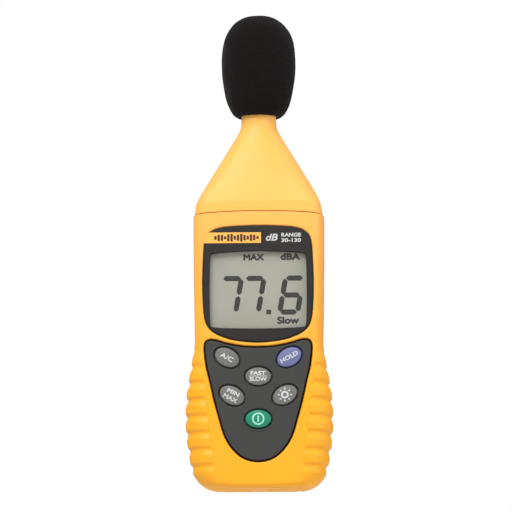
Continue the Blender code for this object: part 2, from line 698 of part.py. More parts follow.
# ---------------------------------------------------------------- back: battery, door, tripod insert

def make_battery():
    """A 9 V block battery, its snap connector and the two leads to the board."""
    block = box("battery", (-13.2, -4.5, 9.1), (13.2, 12.7, 55.6), "battery", bevel=1.2)
    studs = [cylinder("battery_plus", 2.9, (-6.2, 4.1, 55), (-6.2, 4.1, 57.8), None, 16),
             cylinder("battery_minus", 3.9, (6.2, 4.1, 55), (6.2, 4.1, 57.8), None, 16)]
    combine(block, studs, "UNION")
    box("battery_snap", (-12.5, -2.5, 58.2), (12.5, 10.7, 60.6), "black_plastic", bevel=0.5)
    red = ((-6.2, 1.5, 61.3), (-3.5, 1.5, 61.9), (-1.3, 1.5, 63.6), (-1.3, 0.8, 66.5), (-2.5, -3.0, 70),
           (-4.0, -5.0, 74))
    wire("battery_lead_red", red, 1.3, "red_wire")
    black = [(-x, y, z) for x, y, z in red]
    wire("battery_lead_black", black, 1.3, "black_wire")


def make_door():
    """The battery door slides down off its rails; its lower end follows the edge of the base."""
    inner = HALF_DEPTH - DOOR_THICK
    rows = []
    for z in (0.5, 1.2, 2.2, BASE_EDGE, DOOR_TOP):
        outer = case_half_depth(z) + GAP / 2
        lip = min(HALF_DEPTH - 1.3, outer - 0.2)
        wide = DOOR_HALF_WIDTH + DOOR_LIP
        half = ((wide, inner, z), (wide, lip, z), (DOOR_HALF_WIDTH, lip, z), (DOOR_HALF_WIDTH, outer, z))
        rows.append(list(half) + [(-x, y, height) for x, y, height in half[::-1]])
    middle = Vector((0, HALF_DEPTH - DOOR_THICK / 2, DOOR_TOP / 2))
    bm = bmesh.new()
    grid = [[bm.verts.new(Vector(point) - middle) for point in row] for row in rows]
    for row, above in zip(grid, grid[1:]):
        for i in range(len(row)):
            j = (i + 1) % len(row)
            bm.faces.new((row[i], row[j], above[j], above[i]))
    bm.faces.new(grid[0][::-1])
    bm.faces.new(grid[-1])
    from_bmesh("battery_door", bm, "yellow_case", middle)


def make_back_fittings():
    """Brass tripod insert in its seat, and a blank rating label."""
    z = TRIPOD_HEIGHT
    radius = INSERT_RADIUS
    profile = ((0, -6.6), (THREAD_RADIUS, -6.6), (THREAD_RADIUS, -0.5), (THREAD_RADIUS + 0.6, 0.0),
               (radius, 0.0), (radius, -7.6), (0, -7.6))
    turned("tripod_insert", profile, "brass", (0, HALF_DEPTH - 0.2, z), (0, 1, 0))
    box("rear_label", (-22, HALF_DEPTH - 0.3, 102), (22, HALF_DEPTH, 122), "label")


make_front_case()
make_rear_case()
make_screws()
make_nose()
make_microphone()
make_windscreen()
make_display()
make_keypad()
make_board()
make_sockets()
make_battery()
make_door()
make_back_fittings()
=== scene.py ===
"""Looks of the handheld sound level meter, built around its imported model.

Lengths are in millimetres and become metres through MM when a mesh is made. The places of pieces
come from the frame's boxes; outlines and sections repeat the design's own.
"""

import json
import math

import bmesh
import bpy
from mathutils import Matrix, Quaternion, Vector, noise
from mathutils.geometry import tessellate_polygon


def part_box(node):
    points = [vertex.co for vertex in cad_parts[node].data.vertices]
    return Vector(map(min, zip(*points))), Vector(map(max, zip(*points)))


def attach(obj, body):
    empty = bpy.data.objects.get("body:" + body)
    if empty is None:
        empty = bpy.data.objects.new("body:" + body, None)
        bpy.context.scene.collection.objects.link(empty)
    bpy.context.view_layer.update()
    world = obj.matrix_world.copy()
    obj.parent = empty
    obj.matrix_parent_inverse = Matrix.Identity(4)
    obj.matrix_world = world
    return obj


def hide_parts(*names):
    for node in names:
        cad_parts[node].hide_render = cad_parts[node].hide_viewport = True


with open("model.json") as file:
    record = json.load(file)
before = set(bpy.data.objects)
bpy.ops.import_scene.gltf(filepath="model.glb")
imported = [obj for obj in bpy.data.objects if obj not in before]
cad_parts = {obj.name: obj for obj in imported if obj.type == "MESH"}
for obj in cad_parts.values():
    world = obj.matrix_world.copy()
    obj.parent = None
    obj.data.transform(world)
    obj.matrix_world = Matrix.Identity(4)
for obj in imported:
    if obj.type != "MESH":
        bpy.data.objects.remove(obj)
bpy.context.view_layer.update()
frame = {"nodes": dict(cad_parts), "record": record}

MM = 0.001
PRINT = 0.04                                 # thickness of printed ink


def box_mm(node):
    """Lowest and highest corner of a CAD node, in millimetres."""
    low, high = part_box(node)
    return Vector(low) / MM, Vector(high) / MM


def faces_mm(node):
    """The y of a node's front and of its back."""
    return [corner.y for corner in box_mm(node)]


def middle_mm(node):
    low, high = box_mm(node)
    return (low + high) / 2


# ---------------------------------------------------------------- driving sizes, from the frame

FRONT = box_mm("front_case")[0].y            # the flat front of the case
BACK = box_mm("rear_case")[1].y
CASE_TOP = box_mm("front_case")[1].z
NOSE_TOP = box_mm("nose_cone")[1].z
SEAM = 0.2                                   # gap between the two halves of the case
HALF_DEPTH = (BACK - FRONT - SEAM) / 2
GAP = 0.3                                    # clearance between pieces
WALL = 2.4
POCKET = 1.35                                # depth of the pockets for the bezel and the keypad
GROOVE = 0.5                                 # how far the pockets reach out past the plates' outlines
BEZEL_INSET = 0.25                           # how far the bezel's face stays inside its outline
KEYPAD_INSET = 0.45
FLANGE = 0.7                                 # how far below the face the plates' dark flanges lie; the keypad's flange is painted shade of its groove
LIP = 0.9                                    # radius of the case's edge round a pocket
PLATE_EDGE = 0.35                            # radius of the plates' front edges
PARTING_EDGE = 0.25                          # chamfer along the parting line
WAIST_HALF_WIDTH = 32.0
WAIST = 74.0
TOP_FLARE = 0.7
CORNER = (6.5, 8.0)                          # reach of the section's corner, across and back
GRIP_CORNER = (5.5, 3.5)                     # how much further it reaches in the grip
GRIP_SWELL = 4.9
GRIP_MIDDLE = 36.2
GRIP_REACH = 37.5
BASE_CORNER = 11.0
BASE_EDGE = 3.5
SOLE = 0.5                                   # the middle of the base is this much above its corners
SOLE_HALF_WIDTH = 20.6
RIB_TOP = 69.65
RIB_PITCH = 8.33
RIB_COUNT = 8
RIB_DEPTH = 1.1
RIB_RISE = 0.45                              # shares of the pitch: from the groove down to the crest,
RIB_DROP = 0.24                              # and from the crest into the next groove
RIB_LIFT = {-1: 0.55, 1: 0.0}                # how far a rib's crest stands off the flat front and back
RIB_EDGE = 0.3                               # half width of the step at a rib's inner end
SEAM_ARCH = 1.5                              # how much higher the nose's seam is in the middle of the front
SEAM_OPENING = 0.5                           # gap between the nose and the case
NOSE_STEP = 0.6
NOSE_SHOULDER = 144.0
NOSE_WALL = 2.0
NECK_RADIUS = 8.75
NECK_FOOT = 183.3
CONE_SLOPE = 0.607
SPIGOT = (4.0, 2.15)                         # how far the spigot's two faces lie inside the nose
MIC_BORE = (7.3, 197.0, 218.6)               # the foam's bore for the microphone: radius, foot and top
BOSS_RADIUS = 3.4
SCREW_HOLE = 1.7
HEAD_HOLE = 2.9
SIDE_HOLES = {"output_jack": 3.6, "power_jack": 4.6, "trimmer_rotor": 2.2}
BATTERY_BAY = ((-15.4, -5.9, 7.0), (15.4, 13.6, 64.6))
BATTERY_WELL = ((-13.8, -4.9, 8.6), (13.8, 13.2, 63.0))
KEYS = {                                     # tilt in degrees and face material of each key
    "key_ac": (-28, "grey_key"),
    "key_hold": (28, "violet_key"),
    "key_fast_slow": (0, "grey_key"),
    "key_min_max": (-28, "grey_key"),
    "key_light": (28, "grey_key"),
    "key_power": (0, "green_key"),
}
KEY_HALF_WIDTH = 6.35
KEY_HALF_HEIGHT = 4.4
KEY_FLANGE = (8.2, 5.8)                      # half width and half height of the flange behind the panel
KEY_ROUNDING = 0.6
KEY_CROWN = 0.4                              # how much higher a key's middle is than its edge
KEY_MARGIN = 0.85                            # gap between a key and its hole
PAINTED_HIGHLIGHT_HEIGHTS = (0.055, 0.15)                        # in metres, the heights between which the yellow turns paler: a painted highlight of the light from above


# ---------------------------------------------------------------- materials

def srgb(red, green, blue):
    """Linear colour of an 8-bit display colour."""
    def linear(value):
        value /= 255
        return value / 12.92 if value <= 0.04045 else ((value + 0.055) / 1.055) ** 2.4
    return (linear(red), linear(green), linear(blue), 1.0)


def fill(tree, node, inputs):
    """Sets a node's inputs to constants, or links them to output sockets."""
    for name, value in inputs.items():
        if isinstance(value, bpy.types.NodeSocket):
            tree.links.new(value, node.inputs[name])
        else:
            node.inputs[name].default_value = value


def add_node(tree, kind, inputs, **settings):
    node = tree.nodes.new(kind)
    for name, value in settings.items():
        setattr(node, name, value)
    fill(tree, node, inputs)
    return node


def mix_into(tree, output, factor, first, second):
    """Mixes two shaders by factor, into the output node of a material or of the world."""
    mix = add_node(tree, "ShaderNodeMixShader", {"Fac": factor, 1: first, 2: second})
    fill(tree, tree.nodes[output], {"Surface": mix.outputs["Shader"]})


class Shader:
    """A Principled material with short calls for its procedural detail, which return output sockets."""

    def __init__(self, name, colour, roughness=0.5, metallic=0.0):
        self.material = bpy.data.materials.new(name)
        self.material.use_nodes = True
        self.tree = self.material.node_tree
        self.set({"Base Color": colour, "Roughness": roughness, "Metallic": metallic})
        self.place = self.node("ShaderNodeTexCoord", {}).outputs["Object"]

    def node(self, kind, inputs, **settings):
        return add_node(self.tree, kind, inputs, **settings)

    def set(self, inputs):
        """Sets or links inputs of the surface."""
        fill(self.tree, self.tree.nodes["Principled BSDF"], inputs)

    def noise(self, size_mm, detail=3.0, roughness=0.55):
        """Noise with features of about size_mm."""
        inputs = {"Vector": self.place, "Scale": 1 / (size_mm * MM), "Detail": detail,
                  "Roughness": roughness}
        return self.node("ShaderNodeTexNoise", inputs).outputs["Fac"]

    def cells(self, size_mm):
        """Round cells of about size_mm."""
        inputs = {"Vector": self.place, "Scale": 1 / (size_mm * MM)}
        return self.node("ShaderNodeTexVoronoi", inputs).outputs["Distance"]

    def ranged(self, source, low, high, start=0.3, end=0.7):
        """source remapped so that start..end becomes low..high."""
        inputs = {"Value": source, "From Min": start, "From Max": end, "To Min": low, "To Max": high}
        return self.node("ShaderNodeMapRange", inputs).outputs["Result"]

    def blend(self, factor, first, second):
        """Mix of two colours by factor; either may be a socket."""
        inputs = {"Factor": factor, "A": first, "B": second}
        return self.node("ShaderNodeMix", inputs, data_type="RGBA").outputs["Result"]

    def bumps(self, *layers, rounding=0.0):
        """Stacks bump layers of (height socket, strength, depth in mm) over rounded edges."""
        below = {}
        if rounding:
            edges = self.node("ShaderNodeBevel", {"Radius": rounding * MM}, samples=4)
            below = {"Normal": edges.outputs["Normal"]}
        for height, strength, depth in layers:
            inputs = {"Height": height, "Strength": strength, "Distance": depth * MM, **below}
            below = {"Normal": self.node("ShaderNodeBump", inputs).outputs["Normal"]}
        self.set(below)


def shifted(colour, factor, warm=0.0):
    """A colour made lighter or darker, and warmer where warm is above 0."""
    factors = (factor, factor * (1 - warm), factor * (1 - warm))
    return (*(min(value * each, 1.0) for value, each in zip(colour, factors)), 1.0)


def moulded(name, colour, roughness, grain=0.28, depth=0.02, rounding=0.35, drift=0.04, gloss=0.5,
            painted_highlight_colour=None):
    """Moulded plastic: fine spark-eroded grain, slow colour drift, uneven gloss and softened edges.

    The top colour is what the colour turns into between the two heights set for it near the top of the
    script: a painted highlight of the light from above.
    """
    shader = Shader(name, colour, roughness)
    slow = shader.noise(22.0, 2.0)
    fine = shader.noise(grain, 2.0, 0.6)
    pits = shader.cells(grain * 2.4)
    body = colour
    if painted_highlight_colour:
        height = shader.node("ShaderNodeSeparateXYZ", {"Vector": shader.place}).outputs["Z"]
        # Painted highlight: the colour turns paler towards the top, standing in for the light from above.
        body = shader.blend(shader.ranged(height, 0, 1, *PAINTED_HIGHLIGHT_HEIGHTS), colour, painted_highlight_colour)
    drifting = {"Color": body, "Value": shader.ranged(slow, 1 - drift, 1 + drift)}
    base = shader.node("ShaderNodeHueSaturation", drifting).outputs["Color"]
    specks = shader.ranged(fine, 0.0, 0.35, 0.55, 0.8)
    shader.set({"Base Color": shader.blend(specks, base, shifted(colour, 0.9, 0.03)),
                "Roughness": shader.ranged(fine, roughness - 0.05, roughness + 0.08),
                "Specular IOR Level": gloss})
    shader.bumps((fine, 0.35, depth), (pits, 0.2, depth), rounding=rounding)
    return shader


def yellow(name, colour, painted_highlight_colour, rounding):
    """The case's yellow, painted a little paler towards the top as a painted highlight of the light from
    above.
    """
    return moulded(name, colour, 0.47, grain=0.32, rounding=rounding, drift=0.02, gloss=0.38,
                   painted_highlight_colour=painted_highlight_colour).material


def rubber(name, colour, roughness=0.5):
    """Moulded silicone: satin, with a fine matt skin."""
    shader = moulded(name, colour, roughness, grain=0.2, depth=0.012, rounding=0.4, drift=0.05)
    shader.set({"Sheen Weight": 0.12, "Sheen Roughness": 0.4})
    return shader.material


def foam_material():
    """Open-cell foam: slightly paler struts, with the pores between them painted darker as painted shade,
    quite matt.
    """
    shader = Shader("foam", srgb(34, 31, 30))
    pores = shader.cells(0.55)
    fine = shader.noise(0.22, 3.0, 0.7)
    fuzz = shader.ranged(shader.noise(1.6, 4.0, 0.75), 0, 0.6, 0.35, 0.75)
    # Painted shade: the middles of the cells are darker, standing in for shade down in the pores.
    struts_with_pore_shade = shader.blend(shader.ranged(pores, 0, 1, 0.15, 0.75), srgb(10, 8, 8), srgb(24, 21, 20))
    shader.set({"Base Color": shader.blend(fuzz, struts_with_pore_shade, srgb(15, 13, 12)),
                "Roughness": shader.ranged(fine, 0.88, 1.0),
                "Specular IOR Level": 0.08, "Sheen Weight": 0.04})
    shader.bumps((pores, 0.6, 0.2), (fine, 0.4, 0.08))
    return shader.material


def metal(name, colour, roughness):
    """Machined metal with fine turning marks."""
    shader = Shader(name, colour, roughness, 1.0)
    marks = shader.noise(0.4, 4.0, 0.7)
    smudge = shader.ranged(shader.noise(6.0, 2.0), 0, 1)
    shader.set({"Base Color": shader.blend(smudge, shifted(colour, 0.9), shifted(colour, 1.05)),
                "Roughness": shader.ranged(marks, roughness - 0.07, roughness + 0.12)})
    shader.bumps((marks, 0.25, 0.02), rounding=0.15)
    return shader.material


def clear_material():
    """Clear moulded window: mostly see-through, with a faint satin reflection."""
    material = bpy.data.materials.new("clear")
    material.use_nodes = True
    tree = material.node_tree
    tree.nodes.remove(tree.nodes["Principled BSDF"])
    clear = add_node(tree, "ShaderNodeBsdfTransparent", {"Color": (0.985, 0.985, 0.975, 1.0)})
    haze = add_node(tree, "ShaderNodeTexNoise", {"Scale": 1 / (9 * MM)})
    span = {"Value": haze.outputs["Fac"], "To Min": 0.12, "To Max": 0.22}
    satin = add_node(tree, "ShaderNodeMapRange", span).outputs["Result"]
    gloss = add_node(tree, "ShaderNodeBsdfGlossy", {"Color": (0.9, 0.9, 0.9, 1.0), "Roughness": satin})
    mix_into(tree, "Material Output", 0.035, clear.outputs["BSDF"], gloss.outputs["BSDF"])
    return material


def lcd_material():
    """Reflective liquid crystal panel: grey-green, with a very fine sparkle and a slow shade."""
    shader = Shader("lcd", srgb(176, 178, 163))
    slow = shader.ranged(shader.noise(30.0, 1.0), 0, 1)
    fine = shader.noise(0.12, 1.0)
    base = shader.blend(slow, srgb(164, 164, 152), srgb(169, 169, 157))
    shader.set({"Base Color": shader.blend(shader.ranged(fine, 0.0, 0.2), base, srgb(154, 155, 144)),
                "Roughness": shader.ranged(fine, 0.4, 0.55), "Specular IOR Level": 0.2})
    return shader.material


def ink(name, colour, roughness=0.55):
    """Screen-printed ink: flat, slightly uneven."""
    shader = Shader(name, colour)
    fine = shader.noise(0.3, 2.0)
    shader.set({"Base Color": shader.blend(shader.ranged(fine, 0, 1), shifted(colour, 0.93), colour),
                "Roughness": shader.ranged(fine, roughness - 0.05, roughness + 0.1)})
    return shader.material


def board_material():
    """Green solder mask with darker copper areas under it."""
    shader = Shader("board", srgb(24, 92, 48))
    copper = shader.cells(2.6)
    tracks = shader.ranged(copper, 0, 1, 0.3, 0.4)
    shader.set({"Base Color": shader.blend(tracks, srgb(16, 70, 36), srgb(30, 108, 56)),
                "Roughness": shader.ranged(shader.noise(0.5, 2.0), 0.32, 0.5)})
    shader.bumps((copper, 0.2, 0.05))
    return shader.material


# By the record's slot names; the inks, the groove's painted shade and the screen's segments have no slot of
# their own
MATERIALS = {
    # The second yellow of each pair is a painted highlight towards the top, from the light above.
    "yellow_case": yellow("yellow_case", srgb(250, 171, 22), srgb(247, 180, 92), 0.4),
    # The nose's lower yellow is paler than the case's as well: a painted highlight on its upward-facing
    # cone.
    "yellow_nose": yellow("yellow_nose", srgb(250, 182, 60), srgb(249, 183, 88), 0.5),
    "foam": foam_material(),
    "dark_panel": moulded("dark_panel", srgb(35, 33, 32), 0.52, grain=0.25, gloss=0.3).material,
    "keypad_grey": moulded("keypad_grey", srgb(56, 56, 55), 0.62, grain=0.3, depth=0.03, drift=0.06,
                           gloss=0.35).material,
    "grey_key": rubber("grey_key", srgb(106, 106, 103)),
    "violet_key": rubber("violet_key", srgb(104, 106, 152)),
    "green_key": rubber("green_key", srgb(16, 126, 98)),
    "lcd": lcd_material(),
    "clear": clear_material(),
    "white_plastic": moulded("white_plastic", srgb(222, 222, 216), 0.5).material,
    "black_plastic": moulded("black_plastic", srgb(32, 32, 34), 0.45, grain=0.2).material,
    # Painted shade: a dark brown that stands in for the shaded depths of the groove round the keypad.
    "painted_groove_shade": moulded("painted_groove_shade", srgb(26, 13, 5), 0.85, gloss=0.1).material,
    "silicone": rubber("silicone", srgb(70, 70, 72), 0.7),
    "board": board_material(),
    "steel": metal("steel", srgb(176, 176, 180), 0.32),
    "brass": metal("brass", srgb(206, 168, 96), 0.3),
    "battery": moulded("battery", srgb(46, 52, 70), 0.3, grain=0.5, drift=0.08).material,
    "red_wire": rubber("red_wire", srgb(180, 24, 20)),
    "label": moulded("label", srgb(190, 190, 186), 0.4, grain=0.15, depth=0.006).material,
    "segments": ink("segments", srgb(28, 30, 22), 0.6),
    "white_ink": ink("white_ink", srgb(196, 196, 192)),
    "key_ink": ink("key_ink", srgb(205, 205, 203)),
    "green_ink": ink("green_ink", srgb(150, 224, 200)),
    "yellow_ink": ink("yellow_ink", srgb(248, 180, 78)),
    "brown_ink": ink("brown_ink", srgb(70, 28, 6)),
    "grey_ink": ink("grey_ink", srgb(92, 92, 92)),
}



# ---------------------------------------------------------------- mesh helpers

def placed(name, data):
    """An object of the scene that shows data."""
    made = bpy.data.objects.new(name, data)
    bpy.context.scene.collection.objects.link(made)
    return made


def mesh_of(name, bm):
    mesh = bpy.data.meshes.new(name)
    bm.to_mesh(mesh)
    bm.free()
    return mesh


def evaluated_mesh(made):
    """A new mesh of what an object looks like, with its modifiers."""
    bpy.context.view_layer.update()
    return bpy.data.meshes.new_from_object(made.evaluated_get(bpy.context.evaluated_depsgraph_get()))


def smooth_by_angle(piece, degrees):
    piece.data.shade_smooth()
    piece.data.set_sharp_from_angle(angle=math.radians(degrees))


def even_normals(piece):
    """Keeps large flat faces flat where they meet a rounded edge."""
    weighted = piece.modifiers.new("normals", "WEIGHTED_NORMAL")
    weighted.keep_sharp = True


def finish(name, bm, material, body="root", replaces=(), smooth=35):
    """A piece from bm, which is drawn in millimetres in the row frame; it rides on a body."""
    bmesh.ops.scale(bm, verts=bm.verts, vec=(MM, MM, MM))
    piece = placed(name, mesh_of(name, bm))
    piece.data.materials.append(MATERIALS[material])
    if smooth:
        smooth_by_angle(piece, smooth)
    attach(piece, body)
    if replaces:
        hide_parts(*replaces)
    return piece


def loft(bm, rings, cyclic_rows=False, close=(False, False)):
    """Faces between rings of equal length; close fills the first and the last ring."""
    grid = [[bm.verts.new(point) for point in ring] for ring in rings]
    pairs = list(zip(grid, grid[1:]))
    if cyclic_rows:
        pairs.append((grid[-1], grid[0]))
    for ring, above in pairs:
        for i in range(len(ring)):
            j = (i + 1) % len(ring)
            bm.faces.new((ring[i], ring[j], above[j], above[i]))
    if close[0]:
        bm.faces.new(grid[0][::-1])
    if close[1]:
        bm.faces.new(grid[-1])
    return grid


def lofted(rings, cyclic_rows=False, close=(False, False)):
    """A mesh of its own between rings, with its faces turned outwards."""
    bm = bmesh.new()
    loft(bm, rings, cyclic_rows, close)
    bmesh.ops.recalc_face_normals(bm, faces=bm.faces)
    return bm


def turned(profile, centre=(0, 0, 0), axis=(0, 0, 1), steps=64, closed=False):
    """A mesh turned from (radius, height) points, which start and end on the axis unless closed."""
    turn = Vector(axis).to_track_quat("Z", "Y").to_matrix()
    angles = [2 * math.pi * i / steps for i in range(steps)]
    rings = [[Vector(centre) + turn @ Vector((radius * math.cos(angle), radius * math.sin(angle), height))
              for angle in angles] for radius, height in profile]
    bm = bmesh.new()
    grid = loft(bm, rings, cyclic_rows=closed)
    for ring in () if closed else (grid[0], grid[-1]):
        bmesh.ops.pointmerge(bm, verts=ring, merge_co=ring[0].co)
    bmesh.ops.recalc_face_normals(bm, faces=bm.faces)
    return bm


def curve_span(points, index, pieces):
    """Points of the smooth closed curve from points[index] to the next, without its start."""
    p0, p1, p2, p3 = (Vector(points[(index + k) % len(points)]) for k in (-1, 0, 1, 2))
    span = []
    for step in range(1, pieces + 1):
        t = step / pieces
        span.append(0.5 * (2 * p1 + (p2 - p0) * t + (2 * p0 - 5 * p1 + 4 * p2 - p3) * t ** 2
                           + (3 * p1 - p0 - 3 * p2 + p3) * t ** 3))
    return span


def smooth_outline(half, pieces=6):
    """A closed outline, symmetric about x = 0, through (x, z) points from the top down."""
    points = list(half) + [(-x, z) for x, z in reversed(half) if x > 0]
    outline = []
    for index in range(len(points)):
        outline += curve_span(points, index, pieces)
    return [(point.x, point.y) for point in outline]


def grown(outline, distance):
    """The outline moved outwards by distance along its normals."""
    count = len(outline)
    area = sum(outline[i][0] * outline[(i + 1) % count][1] - outline[(i + 1) % count][0] * outline[i][1]
               for i in range(count))
    side = distance if area > 0 else -distance
    moved = []
    for i, (x, z) in enumerate(outline):
        along = (Vector(outline[(i + 1) % count]) - Vector(outline[i - 1])).normalized()
        moved.append((x + along.y * side, z - along.x * side))
    return moved


def ring_at(outline, y):
    return [(x, y, z) for x, z in outline]


def oval(x, z, half_width, half_height, tilt=0, count=72):
    """A closed ellipse about (x, z), turned by tilt degrees."""
    turn = math.radians(tilt)
    points = []
    for i in range(count):
        angle = 2 * math.pi * i / count
        u = half_width * math.cos(angle)
        v = half_height * math.sin(angle)
        points.append((x + u * math.cos(turn) - v * math.sin(turn),
                       z + u * math.sin(turn) + v * math.cos(turn)))
    return points


def rectangle(left, low, right, high, radius=0.0):
    """A closed rectangle of (x, z) points with rounded corners."""
    if not radius:
        return [(left, low), (right, low), (right, high), (left, high)]
    points = []
    corners = ((right - radius, high - radius, 0), (left + radius, high - radius, 90),
               (left + radius, low + radius, 180), (right - radius, low + radius, 270))
    for x, z, start in corners:
        for degrees in range(start, start + 91, 15):
            angle = math.radians(degrees)
            points.append((x + radius * math.cos(angle), z + radius * math.sin(angle)))
    return points


def rounding(radius, steps, start=0):
    """Pairs of how far in and how far down, over a rounded edge from its face to its side."""
    turns = [math.radians(degrees) for degrees in spread((start, 90), (steps,))]
    return [(radius * (1 - math.sin(turn)), radius * (1 - math.cos(turn))) for turn in turns]


def plate_mesh(outlines, front, back, edge=0.0):
    """A closed plate between y = front and y = back. outlines[0] is its rim, the others are holes.

    edge is the radius of the rounding along its front edges.
    """
    bm = bmesh.new()
    fronts = []
    backs = []
    for number, outline in enumerate(outlines):
        away = 1 if number else -1
        rings = [ring_at(grown(outline, away * inset), front + down)
                 for inset, down in (rounding(edge, 4) if edge else ((0, 0),))]
        grid = loft(bm, rings + [ring_at(outline, back)])
        fronts.append(grid[0])
        backs.append(grid[-1])
    for loops in (fronts, backs):
        verts = [vert for ring in loops for vert in ring]
        for corners in tessellate_polygon([[vert.co for vert in ring] for ring in loops]):
            bm.faces.new([verts[i] for i in corners])
    bmesh.ops.recalc_face_normals(bm, faces=bm.faces)
    return bm


def plate(name, outlines, front, back, material, edge=0.0, **facts):
    even_normals(finish(name, plate_mesh(outlines, front, back, edge), material, **facts))


def cylinder(radius, start, end, segments=48):
    start, end = Vector(start), Vector(end)
    turn = (end - start).to_track_quat("Z", "Y").to_matrix().to_4x4()
    bm = bmesh.new()
    bmesh.ops.create_cone(bm, cap_ends=True, segments=segments, radius1=radius, radius2=radius,
                          depth=(end - start).length, matrix=Matrix.Translation((start + end) / 2) @ turn)
    return bm


def box(low, high):
    low, high = Vector(low), Vector(high)
    sizes = Matrix.Diagonal((*(high - low), 1.0))
    bm = bmesh.new()
    bmesh.ops.create_cube(bm, size=1.0, matrix=Matrix.Translation((low + high) / 2) @ sizes)
    return bm


def joined(*meshes):
    """One bmesh of several, which don't touch each other."""
    bm = bmesh.new()
    for other in meshes:
        mesh = mesh_of("joined", other)
        bm.from_mesh(mesh)
        bpy.data.meshes.remove(mesh)
    return bm


def boolean(piece, bm, operation):
    """Adds bm to the piece, or cuts it out, and keeps the result."""
    bmesh.ops.scale(bm, verts=bm.verts, vec=(MM, MM, MM))
    bmesh.ops.recalc_face_normals(bm, faces=bm.faces)
    tool = placed("tool", mesh_of("tool", bm))
    step = piece.modifiers.new("boolean", "BOOLEAN")
    step.operation = operation
    step.solver = "EXACT"
    step.object = tool
    old = piece.data
    made = evaluated_mesh(piece)
    piece.modifiers.clear()
    piece.data = made
    made.name = piece.name
    bpy.data.meshes.remove(old)
    bpy.data.meshes.remove(tool.data)        # the tool goes with its mesh


def add(piece, *meshes):
    boolean(piece, joined(*meshes), "UNION")


def cut(piece, *meshes):
    boolean(piece, joined(*meshes), "DIFFERENCE")


def lettering(words, centre, width, height, tilt=0.0, bold=0.12, shear=0.0):
    """Words as a thin solid in the xz plane, fitted to a width and a height about their centre.

    bold is how far the strokes are thickened to each side, by copies shifted all round.
    """
    curve = bpy.data.curves.new("words", "FONT")
    curve.body = words
    curve.shear = shear
    curve.extrude = 0.02
    curve.resolution_u = 4
    holder = placed("words", curve)
    mesh = evaluated_mesh(holder)
    low, high = ([pick(vert.co[axis] for vert in mesh.vertices) for axis in (0, 1)] for pick in (min, max))
    middle = Matrix.Translation((-(low[0] + high[0]) / 2, -(low[1] + high[1]) / 2, 0))
    fit = Matrix.Diagonal(((width - 2 * bold) / (high[0] - low[0]), (height - 2 * bold) / (high[1] - low[1]),
                           1.0, 1.0))
    turn = Matrix.Rotation(-math.radians(tilt), 4, "Y") @ Matrix.Rotation(math.pi / 2, 4, "X")
    at = Matrix.Translation((centre[0], 0, centre[1]))
    shifts = ((0, 0), (1, 0), (-1, 0), (0, 1), (0, -1), (0.7, 0.7), (-0.7, 0.7), (0.7, -0.7), (-0.7, -0.7))
    copies = []
    for layer, (across, up) in enumerate(shifts):
        copy = bmesh.new()
        copy.from_mesh(mesh)
        bmesh.ops.remove_doubles(copy, verts=copy.verts, dist=1e-5)
        shift = Matrix.Translation((across * bold, up * bold, 0.0005 * layer))
        bmesh.ops.transform(copy, verts=copy.verts, matrix=at @ turn @ shift @ fit @ middle)
        copies.append(copy)
    bpy.data.objects.remove(holder)
    bpy.data.curves.remove(curve)
    bpy.data.meshes.remove(mesh)
    return joined(*copies)


def sheet_ink(*outlines):
    """A thin printed shape in the xz plane; outlines after the first are holes in it."""
    return plate_mesh(outlines, -PRINT / 2, PRINT / 2)


def flat(front):
    """The surface of a flat face, for a print on it."""
    return lambda x, z: front


def print_on(name, parts, material, surface, body="root"):
    """A print: flat shapes drawn in the xz plane, laid on the surface whose y is surface(x, z)."""
    bm = joined(*parts)
    for vert in bm.verts:
        vert.co.y += surface(vert.co.x, vert.co.z)
    finish(name, bm, material, body=body, smooth=0)


# ---------------------------------------------------------------- sections of the case and nose

BEZEL = smooth_outline(((0, 131.4), (10, 131.15), (18.5, 130.4), (23.6, 128.3), (26.2, 124.3), (27.1, 114),
                        (27.45, 103), (27.1, 91.5), (25.9, 83.4), (22.8, 78.9), (17, 75.9), (10.2, 74.15),
                        (0, 73.25)), 10)
WINDOW = smooth_outline(((0, 118.7), (12, 118.3), (21.8, 117.5), (23.5, 116.1), (23.9, 109), (24.0, 99),
                         (23.9, 89), (23.5, 82.1), (21.8, 80.9), (12, 80.4), (0, 80.2)), 12)
KEYPAD = smooth_outline(((0, 70.6), (8, 71.0), (16, 72.5), (21.4, 74.1), (25.0, 74.0), (26.75, 71.2),
                         (25.9, 62), (23.95, 53.5), (21.7, 43.5), (19.2, 34.4), (17.1, 27.3), (14.3, 21.9),
                         (10.3, 17.3), (5.7, 14.5), (0, 13.5)))
FOAM = (                                     # (radius, height) points down the windscreen's outside
    (0.0, 241.2), (4.0, 241.0), (6.8, 240.5), (9.0, 239.65), (11.35, 238.1), (13.0, 236.6), (14.3, 235.0),
    (15.4, 233.4), (16.3, 231.7), (17.0, 230.0), (17.6, 228.1), (18.2, 225.0), (18.65, 220.5), (18.8, 216.5),
    (18.6, 211.5), (18.0, 206.3), (16.95, 200.6), (16.3, 197.9), (15.5, 195.3), (14.7, 193.3),
    (14.15, 192.3), (13.55, 191.3), (12.75, 190.4), (11.8, 189.6), (10.8, 189.1), (10.2, 188.9),
)


def smoothstep(value):
    value = min(max(value, 0.0), 1.0)
    return value * value * (3 - 2 * value)


def case_half_width(z, inset=0.0):
    width = WAIST_HALF_WIDTH - inset
    if z > WAIST:
        width += TOP_FLARE * math.sin(math.pi / 2 * (z - WAIST) / (CASE_TOP - WAIST))
    else:
        lobe = math.cos(math.pi / 2 * (z - GRIP_MIDDLE) / GRIP_REACH)
        width += GRIP_SWELL * max(lobe, 0.0) ** 1.25
    return width - corner_loss(z, BASE_CORNER, inset)


def case_half_depth(z, inset=0.0):
    return HALF_DEPTH - inset - corner_loss(z, BASE_EDGE, inset)


